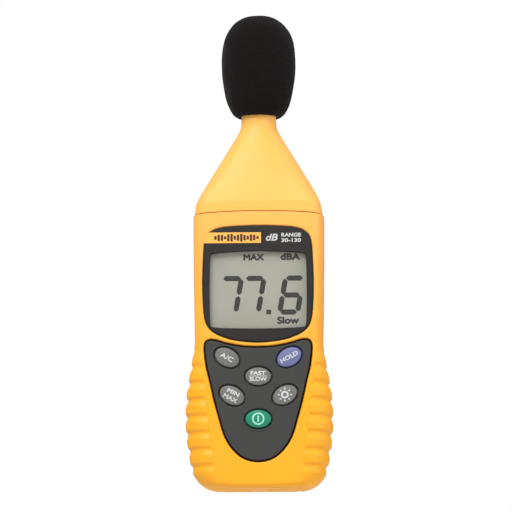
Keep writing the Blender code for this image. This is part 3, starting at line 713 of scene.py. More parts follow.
def corner_loss(z, corner, inset):
    """How much the rounding of the base takes off the section at height z."""
    radius = corner - inset
    return radius - math.sqrt(max(radius ** 2 - max(corner - z, 0.0) ** 2, 0.0))


def case_corner(z):
    """Reach of the section's rounded corner at height z, across and back."""
    grip = smoothstep((76 - z) / 42)
    return tuple(reach + more * grip for reach, more in zip(CORNER, GRIP_CORNER))


def section_length(half_width, half_depth, corner):
    """Lengths along a quarter of the section: the flat front, the corner and the flat side."""
    corner_x, corner_y = corner
    return half_width - corner_x, math.pi / 4 * (corner_x + corner_y), half_depth - corner_y


def section_point(travel, half_width, half_depth, corner):
    """Point (x, y) so far along the quarter section from the middle of the front, and its share.

    The share says how far round the corner it is: 1 on the flat front and 0 on the side.
    """
    flat, bend, side = section_length(half_width, half_depth, corner)
    corner_x, corner_y = corner
    if travel <= flat:
        return travel, half_depth, 1.0
    if travel >= flat + bend:
        return half_width, side * (1 - (travel - flat - bend) / side), 0.0
    share = 1 - (travel - flat) / bend
    angle = math.pi / 2 * share
    return flat + corner_x * math.cos(angle), side + corner_y * math.sin(angle), share


def travel_at(x, half_width, half_depth, corner):
    """How far along the quarter section the point at x is, on the front or in the corner."""
    flat, bend, _ = section_length(half_width, half_depth, corner)
    if x <= flat:
        return x
    return flat + bend * (1 - math.acos(min((x - flat) / corner[0], 1.0)) / (math.pi / 2))


def spread(stops, counts):
    """Values from the first stop to the last, with so many even steps in each interval."""
    values = [stops[0]]
    for low, high, count in zip(stops, stops[1:], counts):
        values += [low + (high - low) * i / count for i in range(1, count + 1)]
    return values


def rib_height(z):
    """Depth of the grip's surface below its crests: each rib swells downwards, then steps in."""
    below_top = (RIB_TOP - z) / RIB_PITCH
    last = RIB_COUNT - 1
    if below_top < -RIB_DROP or below_top > last + RIB_RISE:
        return 0.0
    fade = min(max((below_top + 0.6) / 2, 0.0), 1.0)
    if below_top < 0:
        return -RIB_DEPTH * fade * smoothstep(below_top / RIB_DROP + 1)
    along = below_top % 1.0
    drop = smoothstep((1 - along) / RIB_DROP) if below_top < last else 1.0
    return RIB_DEPTH * fade * (smoothstep(along / RIB_RISE) * drop - 1)


def rib_end(z):
    """How far from the middle the ribs reach in over the front, at height z."""
    return 21.1 + 0.113 * z


def grip_relief(inside, z, share, side):
    """How far the grip stands off the plain section: inside is 0 in the smooth middle, 1 on a rib."""
    reach = smoothstep((RIB_TOP + 4 - z) / 10)
    return inside * (rib_height(z) * (1 - 0.25 * share) + RIB_LIFT[side] * share * reach)


def arched(x, y, z, length):
    """A point's height with the arch of the nose's seam, which fades out over a length from the seam."""
    fade = 1 - smoothstep(abs(z - CASE_TOP) / length)
    across = max(1 - (x / WAIST_HALF_WIDTH) ** 2, 0.0)
    return z + SEAM_ARCH * fade * across * smoothstep(-y / HALF_DEPTH)


def case_rows():
    """Heights of the rows of the case's mesh."""
    rib_low = RIB_TOP - RIB_PITCH * RIB_COUNT + RIB_PITCH / 2
    rows = [0.08, 0.3, 0.7, 1.2, 1.9, 2.7, 3.5, 4.3, 5.1]
    return rows + spread((rib_low, RIB_TOP + 6, CASE_TOP), (172, 16))


def case_row(z, side):
    """Points (x, y, z) of a quarter of the case at height z, from the side to the middle."""
    section = (case_half_width(z), case_half_depth(z), case_corner(z))
    end = travel_at(min(rib_end(z), section[0] - 2.6), *section)
    row = []
    for travel in spread((0, end - RIB_EDGE, end + RIB_EDGE, sum(section_length(*section))), (8, 6, 34)):
        x, y, share = section_point(travel, *section)
        relief = grip_relief(smoothstep((travel - end + RIB_EDGE) / (2 * RIB_EDGE)), z, share, side)
        turn = math.pi / 2 * share
        sole = SOLE * (1 - smoothstep((x - SOLE_HALF_WIDTH) / 0.7)) * (1 - smoothstep(z / 3))
        row.append((x + relief * math.cos(turn), y + relief * math.sin(turn), z + sole))
    x, y, height = row.pop()
    chamfer = PARTING_EDGE * smoothstep(z / 1.5)
    row = [(x - chamfer, y, height), (x, y + chamfer, height)] + row[::-1]
    return [(x, y, arched(x, side * y, height, 6)) for x, y, height in row]


def inner_row(z, side):
    """Points (x, y, z) of a quarter of the wall's inner face, from the side to the middle."""
    corner_x, corner_y = case_corner(z)
    section = (case_half_width(z, WALL), case_half_depth(z, WALL), (corner_x - WALL, corner_y - WALL))
    flat, bend, straight = section_length(*section)
    travels = spread((0, flat, flat + bend, flat + bend + straight), (12, 12, 2))
    row = [(*section_point(travel, *section)[:2], z) for travel in travels][::-1]
    return [(x, y, arched(x, side * y, z, 6)) for x, y, z in row]


def floor_rows(row, shares):
    """Rows over a floor, from the parting line out to the row round its rim."""
    starts = spread((0.4 * row[0][0], 0.0), (len(row) - 1,))
    return [[(start * (1 - share) + x * share, y * share, z) for start, (x, y, z) in zip(starts, row)]
            for share in shares]


def skin(bm, rows, side):
    """Faces through rows of points, on the side of the parting plane that side says."""
    grid = [[bm.verts.new((x, side * (y + SEAM / 2), z)) for x, y, z in row] for row in rows]
    for lower, upper in zip(grid, grid[1:]):
        for i in range(len(lower) - 1):
            bm.faces.new((lower[i], upper[i], upper[i + 1], lower[i + 1]))
    return grid


def case_shell(name, side):
    """Half of the case, closed all round. side is -1 for the front and 1 for the back."""
    bm = bmesh.new()
    heights = case_rows()
    rim = [(x, y, z - heights[0]) for x, y, z in case_row(heights[0], side)]
    rows = floor_rows(rim, (0.0, 0.35, 0.7, 0.9, 1.0)) + [case_row(z, side) for z in heights]
    outside = skin(bm, rows, side)
    floor = WALL + SOLE
    levels = spread((floor, BASE_CORNER, 34, 76, CASE_TOP - 6, CASE_TOP), (6, 8, 8, 4, 4))
    rows = floor_rows(inner_row(floor, side), (0.0, 0.6)) + [inner_row(z, side) for z in levels]
    inside = skin(bm, rows, side)
    parting = outside[0][::-1] + [row[0] for row in outside[1:]]
    parting += [row[0] for row in inside[:0:-1]] + inside[0]
    for loop in (parting, outside[-1] + inside[-1][::-1]):
        loop = [vert for vert, last in zip(loop, loop[-1:] + loop) if (vert.co - last.co).length > 0.01]
        for corners in tessellate_polygon([[vert.co for vert in loop]]):
            bm.faces.new([loop[i] for i in corners])
    bmesh.ops.mirror(bm, geom=bm.verts[:] + bm.edges[:] + bm.faces[:], axis="X", merge_dist=0.001)
    bmesh.ops.remove_doubles(bm, verts=bm.verts, dist=0.01)
    bmesh.ops.recalc_face_normals(bm, faces=bm.faces)
    return finish(name, bm, "yellow_case", smooth=40)


def nose_half_width(z):
    body = WAIST_HALF_WIDTH + TOP_FLARE - NOSE_STEP
    cone = NECK_RADIUS + CONE_SLOPE * (NECK_FOOT - z)
    soft = 1.6
    low = -soft * math.log(math.exp(-body / soft) + math.exp(-cone / soft))
    soft = 0.7
    return soft * math.log(math.exp(low / soft) + math.exp(NECK_RADIUS / soft))


def nose_ring(z, inset=0.0):
    """Points round the nose at height z: a rounded rectangle at the seam, a circle at the neck."""
    rise = min(max((z - NOSE_SHOULDER) / (NECK_FOOT - NOSE_SHOULDER), 0.0), 1.0)
    seam_depth = HALF_DEPTH - NOSE_STEP
    half_width = nose_half_width(z) - inset
    half_depth = seam_depth - (seam_depth - NECK_RADIUS) * rise ** 1.15 - inset
    square = (1 - rise) ** 1.4
    corner = [min(reach - inset, half) for reach, half in zip(CORNER, (half_width, half_depth))]
    section = (half_width, half_depth, corner)
    lengths = section_length(*section)
    quarter = []
    for travel in spread((sum(lengths), sum(lengths[:2]), lengths[0], 0.0), (4, 18, 10)):
        x, y, _ = section_point(min(max(travel, 0.0), sum(lengths)), *section)
        angle = math.atan2(y * half_width, x * half_depth)
        round_x = half_width * math.cos(angle)
        round_y = half_depth * math.sin(angle)
        quarter.append((round_x + (x - round_x) * square, round_y + (y - round_y) * square))
    ring = quarter[:-1] + [(-x, y) for x, y in quarter[:0:-1]]
    ring += [(-x, -y) for x, y in ring]
    return [(x, y, arched(x, y, z, 10)) for x, y in ring]


# ---------------------------------------------------------------- case

SCREWS = [(middle_mm(f"case_screw_{i}").x, middle_mm(f"case_screw_{i}").z) for i in (1, 2, 3, 4)]


def at_screws(radius, start, end):
    """Round bars along y at the four case screws."""
    return joined(*(cylinder(radius, (x, start, z), (x, end, z)) for x, z in SCREWS))


def side_holes():
    """Cutters for the sockets and the adjuster, through the right-hand side."""
    bars = []
    for node, radius in SIDE_HOLES.items():
        z = middle_mm(node).z
        bars.append(cylinder(radius, (28, 0, z), (40, 0, z), 64))
    return joined(*bars)


def key_outline(name, grow):
    at = middle_mm(name)
    return oval(at.x, at.z, KEY_HALF_WIDTH + grow, KEY_HALF_HEIGHT + grow, KEYS[name][0])


def pocket(outline):
    """Cutter for a pocket in the front, which leaves a rounded lip round it."""
    wide = GROOVE + LIP + 0.4
    rings = [(wide, FRONT - 4), (wide, FRONT - 0.06)]
    rings += [(GROOVE + out, FRONT + down) for out, down in rounding(LIP, 6, start=10)]
    rings.append((GROOVE, FRONT + POCKET))
    return lofted([ring_at(grown(outline, grow), y) for grow, y in rings], close=(True, True))


def parting_lip(side, low, high):
    """A strip inside the parting line on the left (-1) or the right (1), which hides the gap."""
    rings = []
    for z in spread((low, high), (24,)):
        outer, inner = case_half_width(z, WALL + 0.02), case_half_width(z, WALL + 0.6)
        corners = ((outer, -1.2), (outer, 1.6), (inner, 1.6), (inner, -1.2))
        rings.append([(side * x, y, z) for x, y in corners])
    return lofted(rings, close=(True, True))


def make_front_case():
    """The front shell, open for the plates, the screen, the keys and half of each socket."""
    case = case_shell("front_shell", -1)
    board_front = faces_mm("main_board")[0]
    add(case, at_screws(BOSS_RADIUS, FRONT + WALL - 0.4, board_front - GAP))
    for outline in (BEZEL, KEYPAD):
        cut(case, pocket(outline))
    openings = [grown(WINDOW, 1.0)] + [key_outline(name, KEY_MARGIN + 0.6) for name in KEYS]
    holes = [plate_mesh([outline], FRONT - 4, -10) for outline in openings]
    cut(case, *holes, at_screws(SCREW_HOLE, -12.7, board_front), side_holes())
    smooth_by_angle(case, 32)
    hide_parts("front_case")


def make_rear_case():
    """The rear shell, with the battery bay, the door's track and the seats of the back fittings."""
    case = case_shell("rear_shell", 1)
    board_back = faces_mm("main_board")[1]
    insert = middle_mm("tripod_insert").z
    rails, beyond = 14.6, 20                 # where the door's rails begin, and past the back
    add(case, box(*BATTERY_BAY), cylinder(8, (0, 5, insert), (0, 13.8, insert), 64),
        at_screws(BOSS_RADIUS, board_back + GAP, 13.5))
    cut(case, box(*BATTERY_WELL))
    low, high = box_mm("battery_door")
    cut(case, box((low.x - GAP, low.y - GAP, -5), (high.x + GAP, rails, high.z + GAP)))
    cut(case, box((low.x + 0.9, 14, -5), (high.x - 0.9, beyond, high.z + GAP)))
    low, high = box_mm("rear_label")
    label_seat = box((low.x - GAP, low.y - GAP, low.z - GAP), (high.x + GAP, beyond, high.z + GAP))
    insert_hole = cylinder(5.3, (0, 7, insert), (0, beyond, insert), 64)
    lead_hole = cylinder(3.2, (0, 1.5, 62), (0, 1.5, 70), 32)
    cut(case, label_seat, insert_hole, lead_hole, at_screws(HEAD_HOLE, 9, beyond), side_holes())
    cut(case, at_screws(SCREW_HOLE, board_back - 2, 12))
    smooth_by_angle(case, 32)
    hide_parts("rear_case")


def make_tongue():
    """Strips behind the parting line; the right-hand side leaves the sockets and the adjuster free."""
    low, high = BASE_EDGE, 132.8
    strips = (parting_lip(-1, low, high), parting_lip(1, low, 81), parting_lip(1, 118, high))
    finish("case_tongue", joined(*strips), "yellow_case", smooth=0)


def make_door():
    """The sliding battery door, with a grip of grooves and an arrow towards its opening."""
    low, high = box_mm("battery_door")
    narrow = high.x - 1.2
    rows = []
    for z in (low.z, 0.8, 1.2, 1.7, 2.2, 2.8, BASE_EDGE, high.z):
        outer = case_half_depth(z) + SEAM / 2
        tongue = min(14.2, outer - 0.2)
        half = ((high.x, low.y), (high.x, tongue), (narrow, tongue), (narrow, outer))
        rows.append([(x, y, z) for x, y in half] + [(-x, y, z) for x, y in half[::-1]])
    door = finish("battery_cover", lofted(rows, close=(True, True)), "yellow_case", body="door_body",
                  replaces=("battery_door",))
    grooves = []
    for i in range(7):
        z = 57.5 - 2.3 * i
        reach = 11 - 0.5 * i
        grooves.append(cylinder(0.8, (-reach, BACK + 0.3, z), (reach, BACK + 0.3, z), 24))
    arrow = [(-4.2, 38.0), (4.2, 38.0), (0, 32.5)]
    cut(door, *grooves, plate_mesh([arrow], BACK - 0.4, BACK + 1))
    smooth_by_angle(door, 35)


def make_nose():
    """The nose cone with its neck, hollow, and a spigot below that fits inside the case."""
    bottom = CASE_TOP + SEAM_OPENING
    foot = box_mm("nose_cone")[0].z
    deep, shallow = SPIGOT
    levels = spread((bottom, NOSE_SHOULDER, 153, 179, 187, NOSE_TOP), (8, 20, 24, 20, 4))
    rings = [nose_ring(z) for z in levels]
    rings += [nose_ring(z, NOSE_WALL) for z in (NOSE_TOP, 184, 180, 166, 153, 148, 144)]
    spigot = ((140, deep), (foot, deep), (foot, shallow), (bottom, shallow))
    rings += [nose_ring(z, inset) for z, inset in spigot]
    finish("nose_shell", lofted(rings, cyclic_rows=True), "yellow_nose", replaces=("nose_cone",))


# ---------------------------------------------------------------- windscreen and microphone

def foam_profile():
    """(radius, height) points of the foam: down its outside, then up its two bores."""
    pieces = 4
    points = [FOAM[0]] + smooth_outline(FOAM, pieces)[:(len(FOAM) - 2) * pieces] + [FOAM[-1]]
    radius, foot, top = MIC_BORE
    points += [(NECK_RADIUS + GAP, z) for z in spread((FOAM[-1][1] + 0.6, foot), (6,))]
    return points + [(radius, foot), (radius, top), (0.0, top)]


def make_windscreen():
    """Open-cell foam, with its pores in the surface, pulled over the microphone."""
    bm = turned(foam_profile(), steps=250)
    bm.normal_update()
    moves = []
    for vert in bm.verts:
        outside = math.hypot(vert.co.x, vert.co.y) > NECK_RADIUS + 0.65 or vert.co.z > 225
        pore = noise.noise(vert.co / 0.55) + 0.6 * noise.noise(vert.co / 1.1 + Vector((7, 3, 5)))
        lump = noise.noise(vert.co / 7 + Vector((1, 9, 4)))
        moves.append(vert.normal * ((0.1 * pore + 0.2 * lump - 0.08) if outside else 0.0))
    for vert, move in zip(bm.verts, moves):
        vert.co += move
    foam = finish("foam_windscreen", bm, "foam", body="windscreen_body", replaces=("windscreen",), smooth=0)
    foam.data.shade_smooth()


def make_mic_cap():
    """The protection grid: a grooved cap with rings of holes in its top."""
    low, high = box_mm("mic_grid")
    top = high.z
    outer, inner = 6.95, 6.35
    profile = [(0, top), (6.3, top), (6.6, top - 0.08), (6.85, top - 0.3), (outer, top - 0.6)]
    for i in range(8):
        z = top - 1.4 - 0.5 * i
        profile += [(outer, z), (outer - 0.15, z - 0.12), (outer - 0.15, z - 0.26), (outer, z - 0.38)]
    profile += [(outer, low.z + 0.1), (outer - 0.1, low.z), (inner, low.z)]
    profile += [(inner, top - 1.0), (0, top - 1.0)]
    cap = finish("mic_cap", turned(profile, steps=96), "steel", replaces=("mic_grid",))
    holes = []
    for ring, count in ((0, 1), (1.7, 6), (3.4, 12), (5.1, 18)):
        for i in range(count):
            angle = 2 * math.pi * i / count
            x, y = ring * math.cos(angle), ring * math.sin(angle)
            holes.append(cylinder(0.55, (x, y, top - 2), (x, y, top + 1), 20))
    cut(cap, *holes)
    smooth_by_angle(cap, 35)


def make_mic_element():
    """The capsule: a wide head on a narrower can."""
    low, high = box_mm("mic_capsule")
    head, can, step = 6.0, 4.8, 211.3
    profile = ((0, high.z), (head - 0.3, high.z), (head, high.z - 0.3), (head, step), (can, step),
               (can, low.z), (0, low.z))
    finish("mic_element", turned(profile, steps=96), "steel", replaces=("mic_capsule",))


def make_mic_tube():
    low, high = box_mm("mic_sleeve")
    outer, inner = high.x, 5.2
    profile = ((outer - 0.25, high.z), (outer, high.z - 0.25), (outer, low.z), (inner, low.z),
               (inner, high.z))
    finish("mic_tube", turned(profile, steps=96, closed=True), "black_plastic", replaces=("mic_sleeve",))


# ---------------------------------------------------------------- display

BEZEL_FACE, BEZEL_BACK = faces_mm("display_bezel")


def make_bezel():
    """The dark frame of the display, with a ledge behind it that carries the lens."""
    base = BEZEL_FACE + FLANGE
    rim = [(PLATE_EDGE, BEZEL_BACK), (PLATE_EDGE, base), (-BEZEL_INSET, base)]
    rim += [(-BEZEL_INSET - inset, BEZEL_FACE + down) for inset, down in reversed(rounding(PLATE_EDGE, 4))]
    opening = 0.35
    ledge = faces_mm("lcd_glass")[0] - 0.15
    sill = [(opening + out, BEZEL_FACE + down) for out, down in rounding(0.2, 3)]
    sill += [(opening, BEZEL_BACK), (0.3, BEZEL_BACK), (0.3, ledge), (0.8, ledge), (0.8, BEZEL_BACK)]
    rings = [ring_at(grown(BEZEL, grow), y) for grow, y in rim]
    rings += [ring_at(grown(WINDOW, grow), y) for grow, y in sill]
    shape = lofted(rings, cyclic_rows=True)
    even_normals(finish("bezel_frame", shape, "dark_panel", replaces=("display_bezel",), smooth=40))


def make_name_plate():
    """A yellow plate across the bezel's upper left, with a generic sound wave in place of lettering."""
    face = BEZEL_FACE - 0.12
    low, high, right = 122.9, 128.3, 1.6
    edge = [(x, z) for x, z in grown(BEZEL, GROOVE + 0.4) if x < 0 and low < z < high + 0.2]
    edge.sort(key=lambda point: -point[1])
    outline = [(right, low), (right, high), (-24.6, high)] + edge[1:-1] + [(-27.0, low)]
    plate("name_plate", [outline], face, BEZEL_FACE + 0.3, "yellow_ink", edge=0.06)
    middle, bars = 125.6, 14
    parts = []
    for i in range(bars):
        x = -21.2 + 1.62 * i
        swell = 0.55 + 0.45 * math.sin(math.pi * i / (bars - 1))
        tall = 0.7 + 1.35 * abs(math.sin(0.42 + 0.93 * i)) * swell
        parts.append(sheet_ink(rectangle(x - 0.6, middle - tall, x + 0.6, middle + tall, 0.3)))
    print_on("sound_wave_mark", parts, "brown_ink", flat(face))


def make_bezel_print():
    surface = flat(BEZEL_FACE)
    print_on("unit_mark", [lettering("dB", (7.0, 125.7), 6.0, 3.5, shear=0.25)], "white_ink", surface)
    lines = [lettering(words, (16.7, z), 9.9, 2.0) for words, z in (("RANGE", 126.9), ("30-130", 124.2))]
    print_on("range_mark", lines, "white_ink", surface)


def make_lens():
    front, back = faces_mm("display_lens")
    plate("window_lens", [grown(WINDOW, 0.3)], front, back, "clear", edge=0.1, replaces=("display_lens",))


def segment(start, end):
    """One bar of a digit between two corners of its frame, with pointed ends."""
    half_width, gap = 1.3, 0.22
    start, end = Vector(start), Vector(end)
    along = (end - start).normalized()
    across = Vector((-along.y, along.x)) * half_width
    tip = along * 0.9 * half_width
    start, end = start + along * gap, end - along * gap
    return [start, start + tip + across, end - tip + across, end, end - tip - across, start + tip - across]


def rounded(outline, radius=0.3):
    """A convex outline of vectors with its corners rounded off by short curves."""
    points = []
    for i, corner in enumerate(outline):
        before, after = (corner + (outline[(i + step) % len(outline)] - corner).normalized() * radius
                         for step in (-1, 1))
        for t in spread((0.0, 1.0), (3,)):
            points.append(tuple(before * (1 - t) ** 2 + corner * 2 * t * (1 - t) + after * t ** 2))
    return points


BARS = {                                     # (column, row) of the two corners that a digit's bar joins
    "a": ((0, 2), (1, 2)), "b": ((1, 2), (1, 1)), "c": ((1, 1), (1, 0)), "d": ((1, 0), (0, 0)),
    "e": ((0, 0), (0, 1)), "f": ((0, 1), (0, 2)), "g": ((0, 1), (1, 1)),
}
DIGITS = {"7": "abc", "6": "acdefg"}         # the lit bars of each figure
READING = (("7", -20.7, 9.4), ("7", -9.3, 9.3), ("6", 10.75, 8.9))      # figure, left edge and width
SCREEN_WORDS = (("MAX", (-2.2, 116.1), 10.4, 3.4), ("dBA", (16.1, 116.3), 9.9, 3.6),
                ("Slow", (14.9, 84.2), 11.0, 3.7))                      # text, middle, width and height


def make_screen():
    """The liquid crystal's figures and words."""
    low, tall, slant = 88.3, 17.1, 0.174
    parts = [sheet_ink(rectangle(4.0, 87.2, 6.5, 89.6, 0.5))]
    for figure, left, width in READING:
        for bar in DIGITS[figure]:
            start, end = ((left + width * column + slant * tall * row / 2, low + tall * row / 2)
                          for column, row in BARS[bar])
            parts.append(sheet_ink(rounded(segment(start, end))))
    parts += [lettering(*words, bold=0.26) for words in SCREEN_WORDS]
    print_on("screen_reading", parts, "segments", flat(faces_mm("lcd_glass")[0]))


# ---------------------------------------------------------------- keypad

def make_keypad():
    """The grey panel round the keys, on a flange that fills the groove round it, coloured dark brown as
    painted shade in that groove.
    """
    front, back = faces_mm("keypad_panel")
    holes = [key_outline(name, KEY_MARGIN) for name in KEYS]
    plate("keypad_plate", [grown(KEYPAD, -KEYPAD_INSET)] + holes, front, front + FLANGE, "keypad_grey",
          edge=PLATE_EDGE, replaces=("keypad_panel",))
    # Painted shade: the flange's dark brown stands in for shade down in the groove.
    plate("keypad_shaded_flange", [grown(KEYPAD, PLATE_EDGE)] + holes, front + FLANGE, back, "painted_groove_shade")


def make_power_guard():
    """A low rib round the lower side of the power key, thin at its ends."""
    front = faces_mm("keypad_panel")[0]
    power = middle_mm("key_power")
    wide, tall = (half + KEY_MARGIN + 0.75 for half in (KEY_HALF_WIDTH, KEY_HALF_HEIGHT))
    rings = []
    for share in spread((0.0, 1.0), (32,)):
        angle = math.radians(-165 + 155 * share)
        size = 0.06 + 0.3 * math.sin(math.pi * share) ** 0.7
        centre = Vector((power.x + wide * math.cos(angle), front, power.z + tall * math.sin(angle)))
        away = Vector((math.cos(angle), 0, math.sin(angle)))
        turns = [2 * math.pi * step / 10 for step in range(10)]
        rings.append([centre + away * size * math.cos(turn) + Vector((0, 0.7 * size * math.sin(turn), 0))
                      for turn in turns])
    finish("power_guard", lofted(rings, close=(True, True)), "keypad_grey", smooth=60)


def key_surface(name):
    """The y of a key's crown at (x, z)."""
    at = middle_mm(name)
    front = faces_mm(name)[0]
    tilt = math.radians(KEYS[name][0])

    def surface(x, z):
        u = (x - at.x) * math.cos(tilt) + (z - at.z) * math.sin(tilt)
        v = (z - at.z) * math.cos(tilt) - (x - at.x) * math.sin(tilt)
        far = (u / (KEY_HALF_WIDTH - KEY_ROUNDING)) ** 2 + (v / (KEY_HALF_HEIGHT - KEY_ROUNDING)) ** 2
        return front + KEY_CROWN * far
    return surface


def make_key(name):
    """An oval rubber key: a crowned face, a rounded edge, upright sides and a flange."""
    front, back = faces_mm(name)
    at = middle_mm(name)
    tilt, material = KEYS[name]
    flange = back - 1.2
    face_width, face_height = KEY_HALF_WIDTH - KEY_ROUNDING, KEY_HALF_HEIGHT - KEY_ROUNDING
    rings = [(face_width * share, face_height * share, front + KEY_CROWN * share ** 2)
             for share in spread((0.0, 1.0), (16,))[1:]]
    rings += [(KEY_HALF_WIDTH - inset, KEY_HALF_HEIGHT - inset, front + KEY_CROWN + down)
              for inset, down in rounding(KEY_ROUNDING, 6)[1:]]
    rings += [(KEY_HALF_WIDTH, KEY_HALF_HEIGHT, flange), (*KEY_FLANGE, flange), (*KEY_FLANGE, back)]
    bm = bmesh.new()
    grid = loft(bm, [ring_at(oval(at.x, at.z, wide, tall, tilt), y) for wide, tall, y in rings])
    middle = bm.verts.new((at.x, front, at.z))
    for i, vert in enumerate(grid[0]):
        bm.faces.new((middle, vert, grid[0][(i + 1) % len(grid[0])]))
    bm.faces.new(grid[-1])
    bmesh.ops.recalc_face_normals(bm, faces=bm.faces)
    finish(f"{name}_cap", bm, material, body=f"{name}_body", replaces=(name,), smooth=50)


def finely_split(bm):
    """Splits long edges, so that a print can follow a curved surface."""
    for _ in range(4):
        bmesh.ops.triangulate(bm, faces=bm.faces)
        long_edges = [edge for edge in bm.edges if edge.calc_length() > 0.7]
        bmesh.ops.subdivide_edges(bm, edges=long_edges, cuts=1)
    bmesh.ops.triangulate(bm, faces=bm.faces)
    return bm


def print_key(name, parts, material):
    """A print that follows a key's crown and rides on the key."""
    print_on(f"{name}_legend", [finely_split(joined(*parts))], material, key_surface(name), f"{name}_body")


def above(name, up):
    """The (x, z) place so far up from a key's middle, along the key's own tilt."""
    at = middle_mm(name)
    tilt = math.radians(KEYS[name][0])
    return at.x - up * math.sin(tilt), at.z + up * math.cos(tilt)


def ring_shape(centre, outer, inner):
    return sheet_ink(oval(*centre, outer, outer, count=48), oval(*centre, inner, inner, count=48))


LEGENDS = {                                  # text, place up the key, width and height of each line
    "key_ac": (("A/C", 0, 6.8, 2.4),),
    "key_hold": (("HOLD", 0, 9.6, 2.3),),
    "key_fast_slow": (("FAST", 1.5, 7.5, 2.1), ("SLOW", -1.5, 8.6, 2.1)),
    "key_min_max": (("MIN", 1.6, 6.4, 2.1), ("MAX", -1.6, 7.4, 2.1)),
}


def make_legends():
    """Function marks on the keys, printed along each key's tilt."""
    for name, lines in LEGENDS.items():
        parts = [lettering(text, above(name, up), width, height, KEYS[name][0])
                 for text, up, width, height in lines]
        if name == "key_fast_slow":
            x, z = above(name, 0)
            parts.append(sheet_ink(rectangle(x - 4.6, z - 0.14, x + 4.6, z + 0.14)))
        print_key(name, parts, "key_ink")

    lamp = Vector(above("key_light", 0))
    parts = [ring_shape(lamp, 1.9, 1.0)]
    for i in range(8):
        angle = math.pi / 4 * i
        ray = Vector((math.cos(angle), math.sin(angle)))
        side = Vector((-ray.y, ray.x)) * 0.36
        near, far = lamp + ray * 2.55, lamp + ray * 3.5
        parts.append(sheet_ink(rounded([near + side, far + side, far - side, near - side], 0.2)))
    print_key("key_light", parts, "key_ink")

    x, z = above("key_power", 0)
    bar = sheet_ink(rectangle(x - 0.42, z - 1.6, x + 0.42, z + 1.6, 0.35))
    print_key("key_power", (ring_shape((x, z), 3.1, 2.3), bar), "green_ink")


# ---------------------------------------------------------------- side and back fittings

def make_jack(node, name, collar, bore, pin):
    """A socket: its housing, a round collar through the case, the bore for the plug and its contact."""
    low, high = box_mm(node)
    along_x = {"centre": (0, 0, middle_mm(node).z), "axis": (1, 0, 0)}
    edge = high.x
    jack = finish(name, box(low, (29.6, high.y, high.z)), "black_plastic", replaces=(node,))
    nose = ((0, 28), (collar, 28), (collar, edge - 0.3), (collar - 0.1, edge - 0.1), (collar - 0.3, edge),
            (0, edge))
    add(jack, turned(nose, steps=72, **along_x))
    cut(jack, turned(((0, edge - 12), (bore, edge - 12), (bore, edge + 3), (0, edge + 3)), **along_x))
    smooth_by_angle(jack, 35)
    outer, inner = bore - 0.02, bore - 0.3
    sleeve = ((outer, edge - 0.5), (outer, edge - 11.5), (inner, edge - 11.5), (inner, edge - 0.5))
    finish(f"{name}_contact", turned(sleeve, closed=True, **along_x), "steel")
    if pin:
        profile = ((0, 20.5), (pin, 20.5), (pin, edge - 1.5), (pin - 0.3, edge - 1.0), (0, edge - 0.9))
        finish(f"{name}_pin", turned(profile, steps=32, **along_x), "steel")


def make_trimmer():
    """The brass screw of the calibration adjuster, with its slot."""
    low, high = box_mm("trimmer_rotor")
    z = middle_mm("trimmer_rotor").z
    profile = ((0, low.x), (1.8, low.x), (1.8, high.x - 0.3), (1.55, high.x), (0, high.x))
    rotor = finish("adjuster_screw", turned(profile, (0, 0, z), (1, 0, 0)), "brass",
                   body="trimmer_body_moving", replaces=("trimmer_rotor",))
    cut(rotor, box((high.x - 0.7, -0.35, z - 3), (high.x + 2, 0.35, z + 3)))
    smooth_by_angle(rotor, 35)


def make_screws():
    """Pan-head case screws with a cross recess, down in their counterbores."""
    for i, (x, z) in enumerate(SCREWS, 1):
        low, high = box_mm(f"case_screw_{i}")
        head = high.y
        profile = ((0, head), (1.2, head - 0.02), (2.1, head - 0.25), (2.6, head - 0.8), (2.6, head - 1.8),
                   (1.4, head - 2.2), (1.4, low.y + 1.6), (0, low.y))
        screw = finish(f"screw_{i}", turned(profile, (x, 0, z), (0, 1, 0), 48), "steel",
                       replaces=(f"case_screw_{i}",))
        for wide, tall in ((1.5, 0.3), (0.3, 1.5)):
            cut(screw, box((x - wide, head - 1.1, z - tall), (x + wide, head + 1, z + tall)))
        smooth_by_angle(screw, 35)


def make_insert():
    """Brass tripod insert with its thread."""
    low, high = box_mm("tripod_insert")
    face, radius, thread, pitch = high.y, high.x, 2.9, 1.27
    profile = [(0, face - 6.6), (thread, face - 6.6)]
    for i in range(4, 0, -1):
        y = face - 0.7 - pitch * i
        profile += [(thread - 0.25, y), (thread + 0.35, y + pitch / 2)]
    profile += [(thread - 0.1, face - 0.9), (thread + 0.6, face), (radius - 0.2, face), (radius, face - 0.2),
                (radius, low.y), (0, low.y)]
    insert = turned(profile, (0, 0, middle_mm("tripod_insert").z), (0, 1, 0), 72)
    finish("tripod_socket", insert, "brass", replaces=("tripod_insert",), smooth=25)


def make_label():
    """The rating label: a silver film with a printed frame and rules, without any wording."""
    low, high = box_mm("rear_label")
    outline = rectangle(low.x, low.z, high.x, high.z, 1.5)
    rings = [ring_at(grown(outline, -inset), y)
             for inset, y in ((0, low.y), (0, high.y - 0.08), (0.08, high.y))]
    finish("rating_label", lofted(rings, close=(True, True)), "label", replaces=("rear_label",))
    borders = [rectangle(low.x + inset, low.z + inset, high.x - inset, high.z - inset, radius)
               for inset, radius in ((1.0, 1.0), (1.4, 0.7))]
    parts = [sheet_ink(*borders)]
    for i, wide in enumerate((34, 26, 30, 18)):
        z = high.z - 5 - 3.3 * i
        parts.append(sheet_ink(rectangle(-18, z - 0.35, -18 + wide, z + 0.35, 0.2)))
    print_on("label_print", parts, "grey_ink", flat(high.y))


# ---------------------------------------------------------------- build

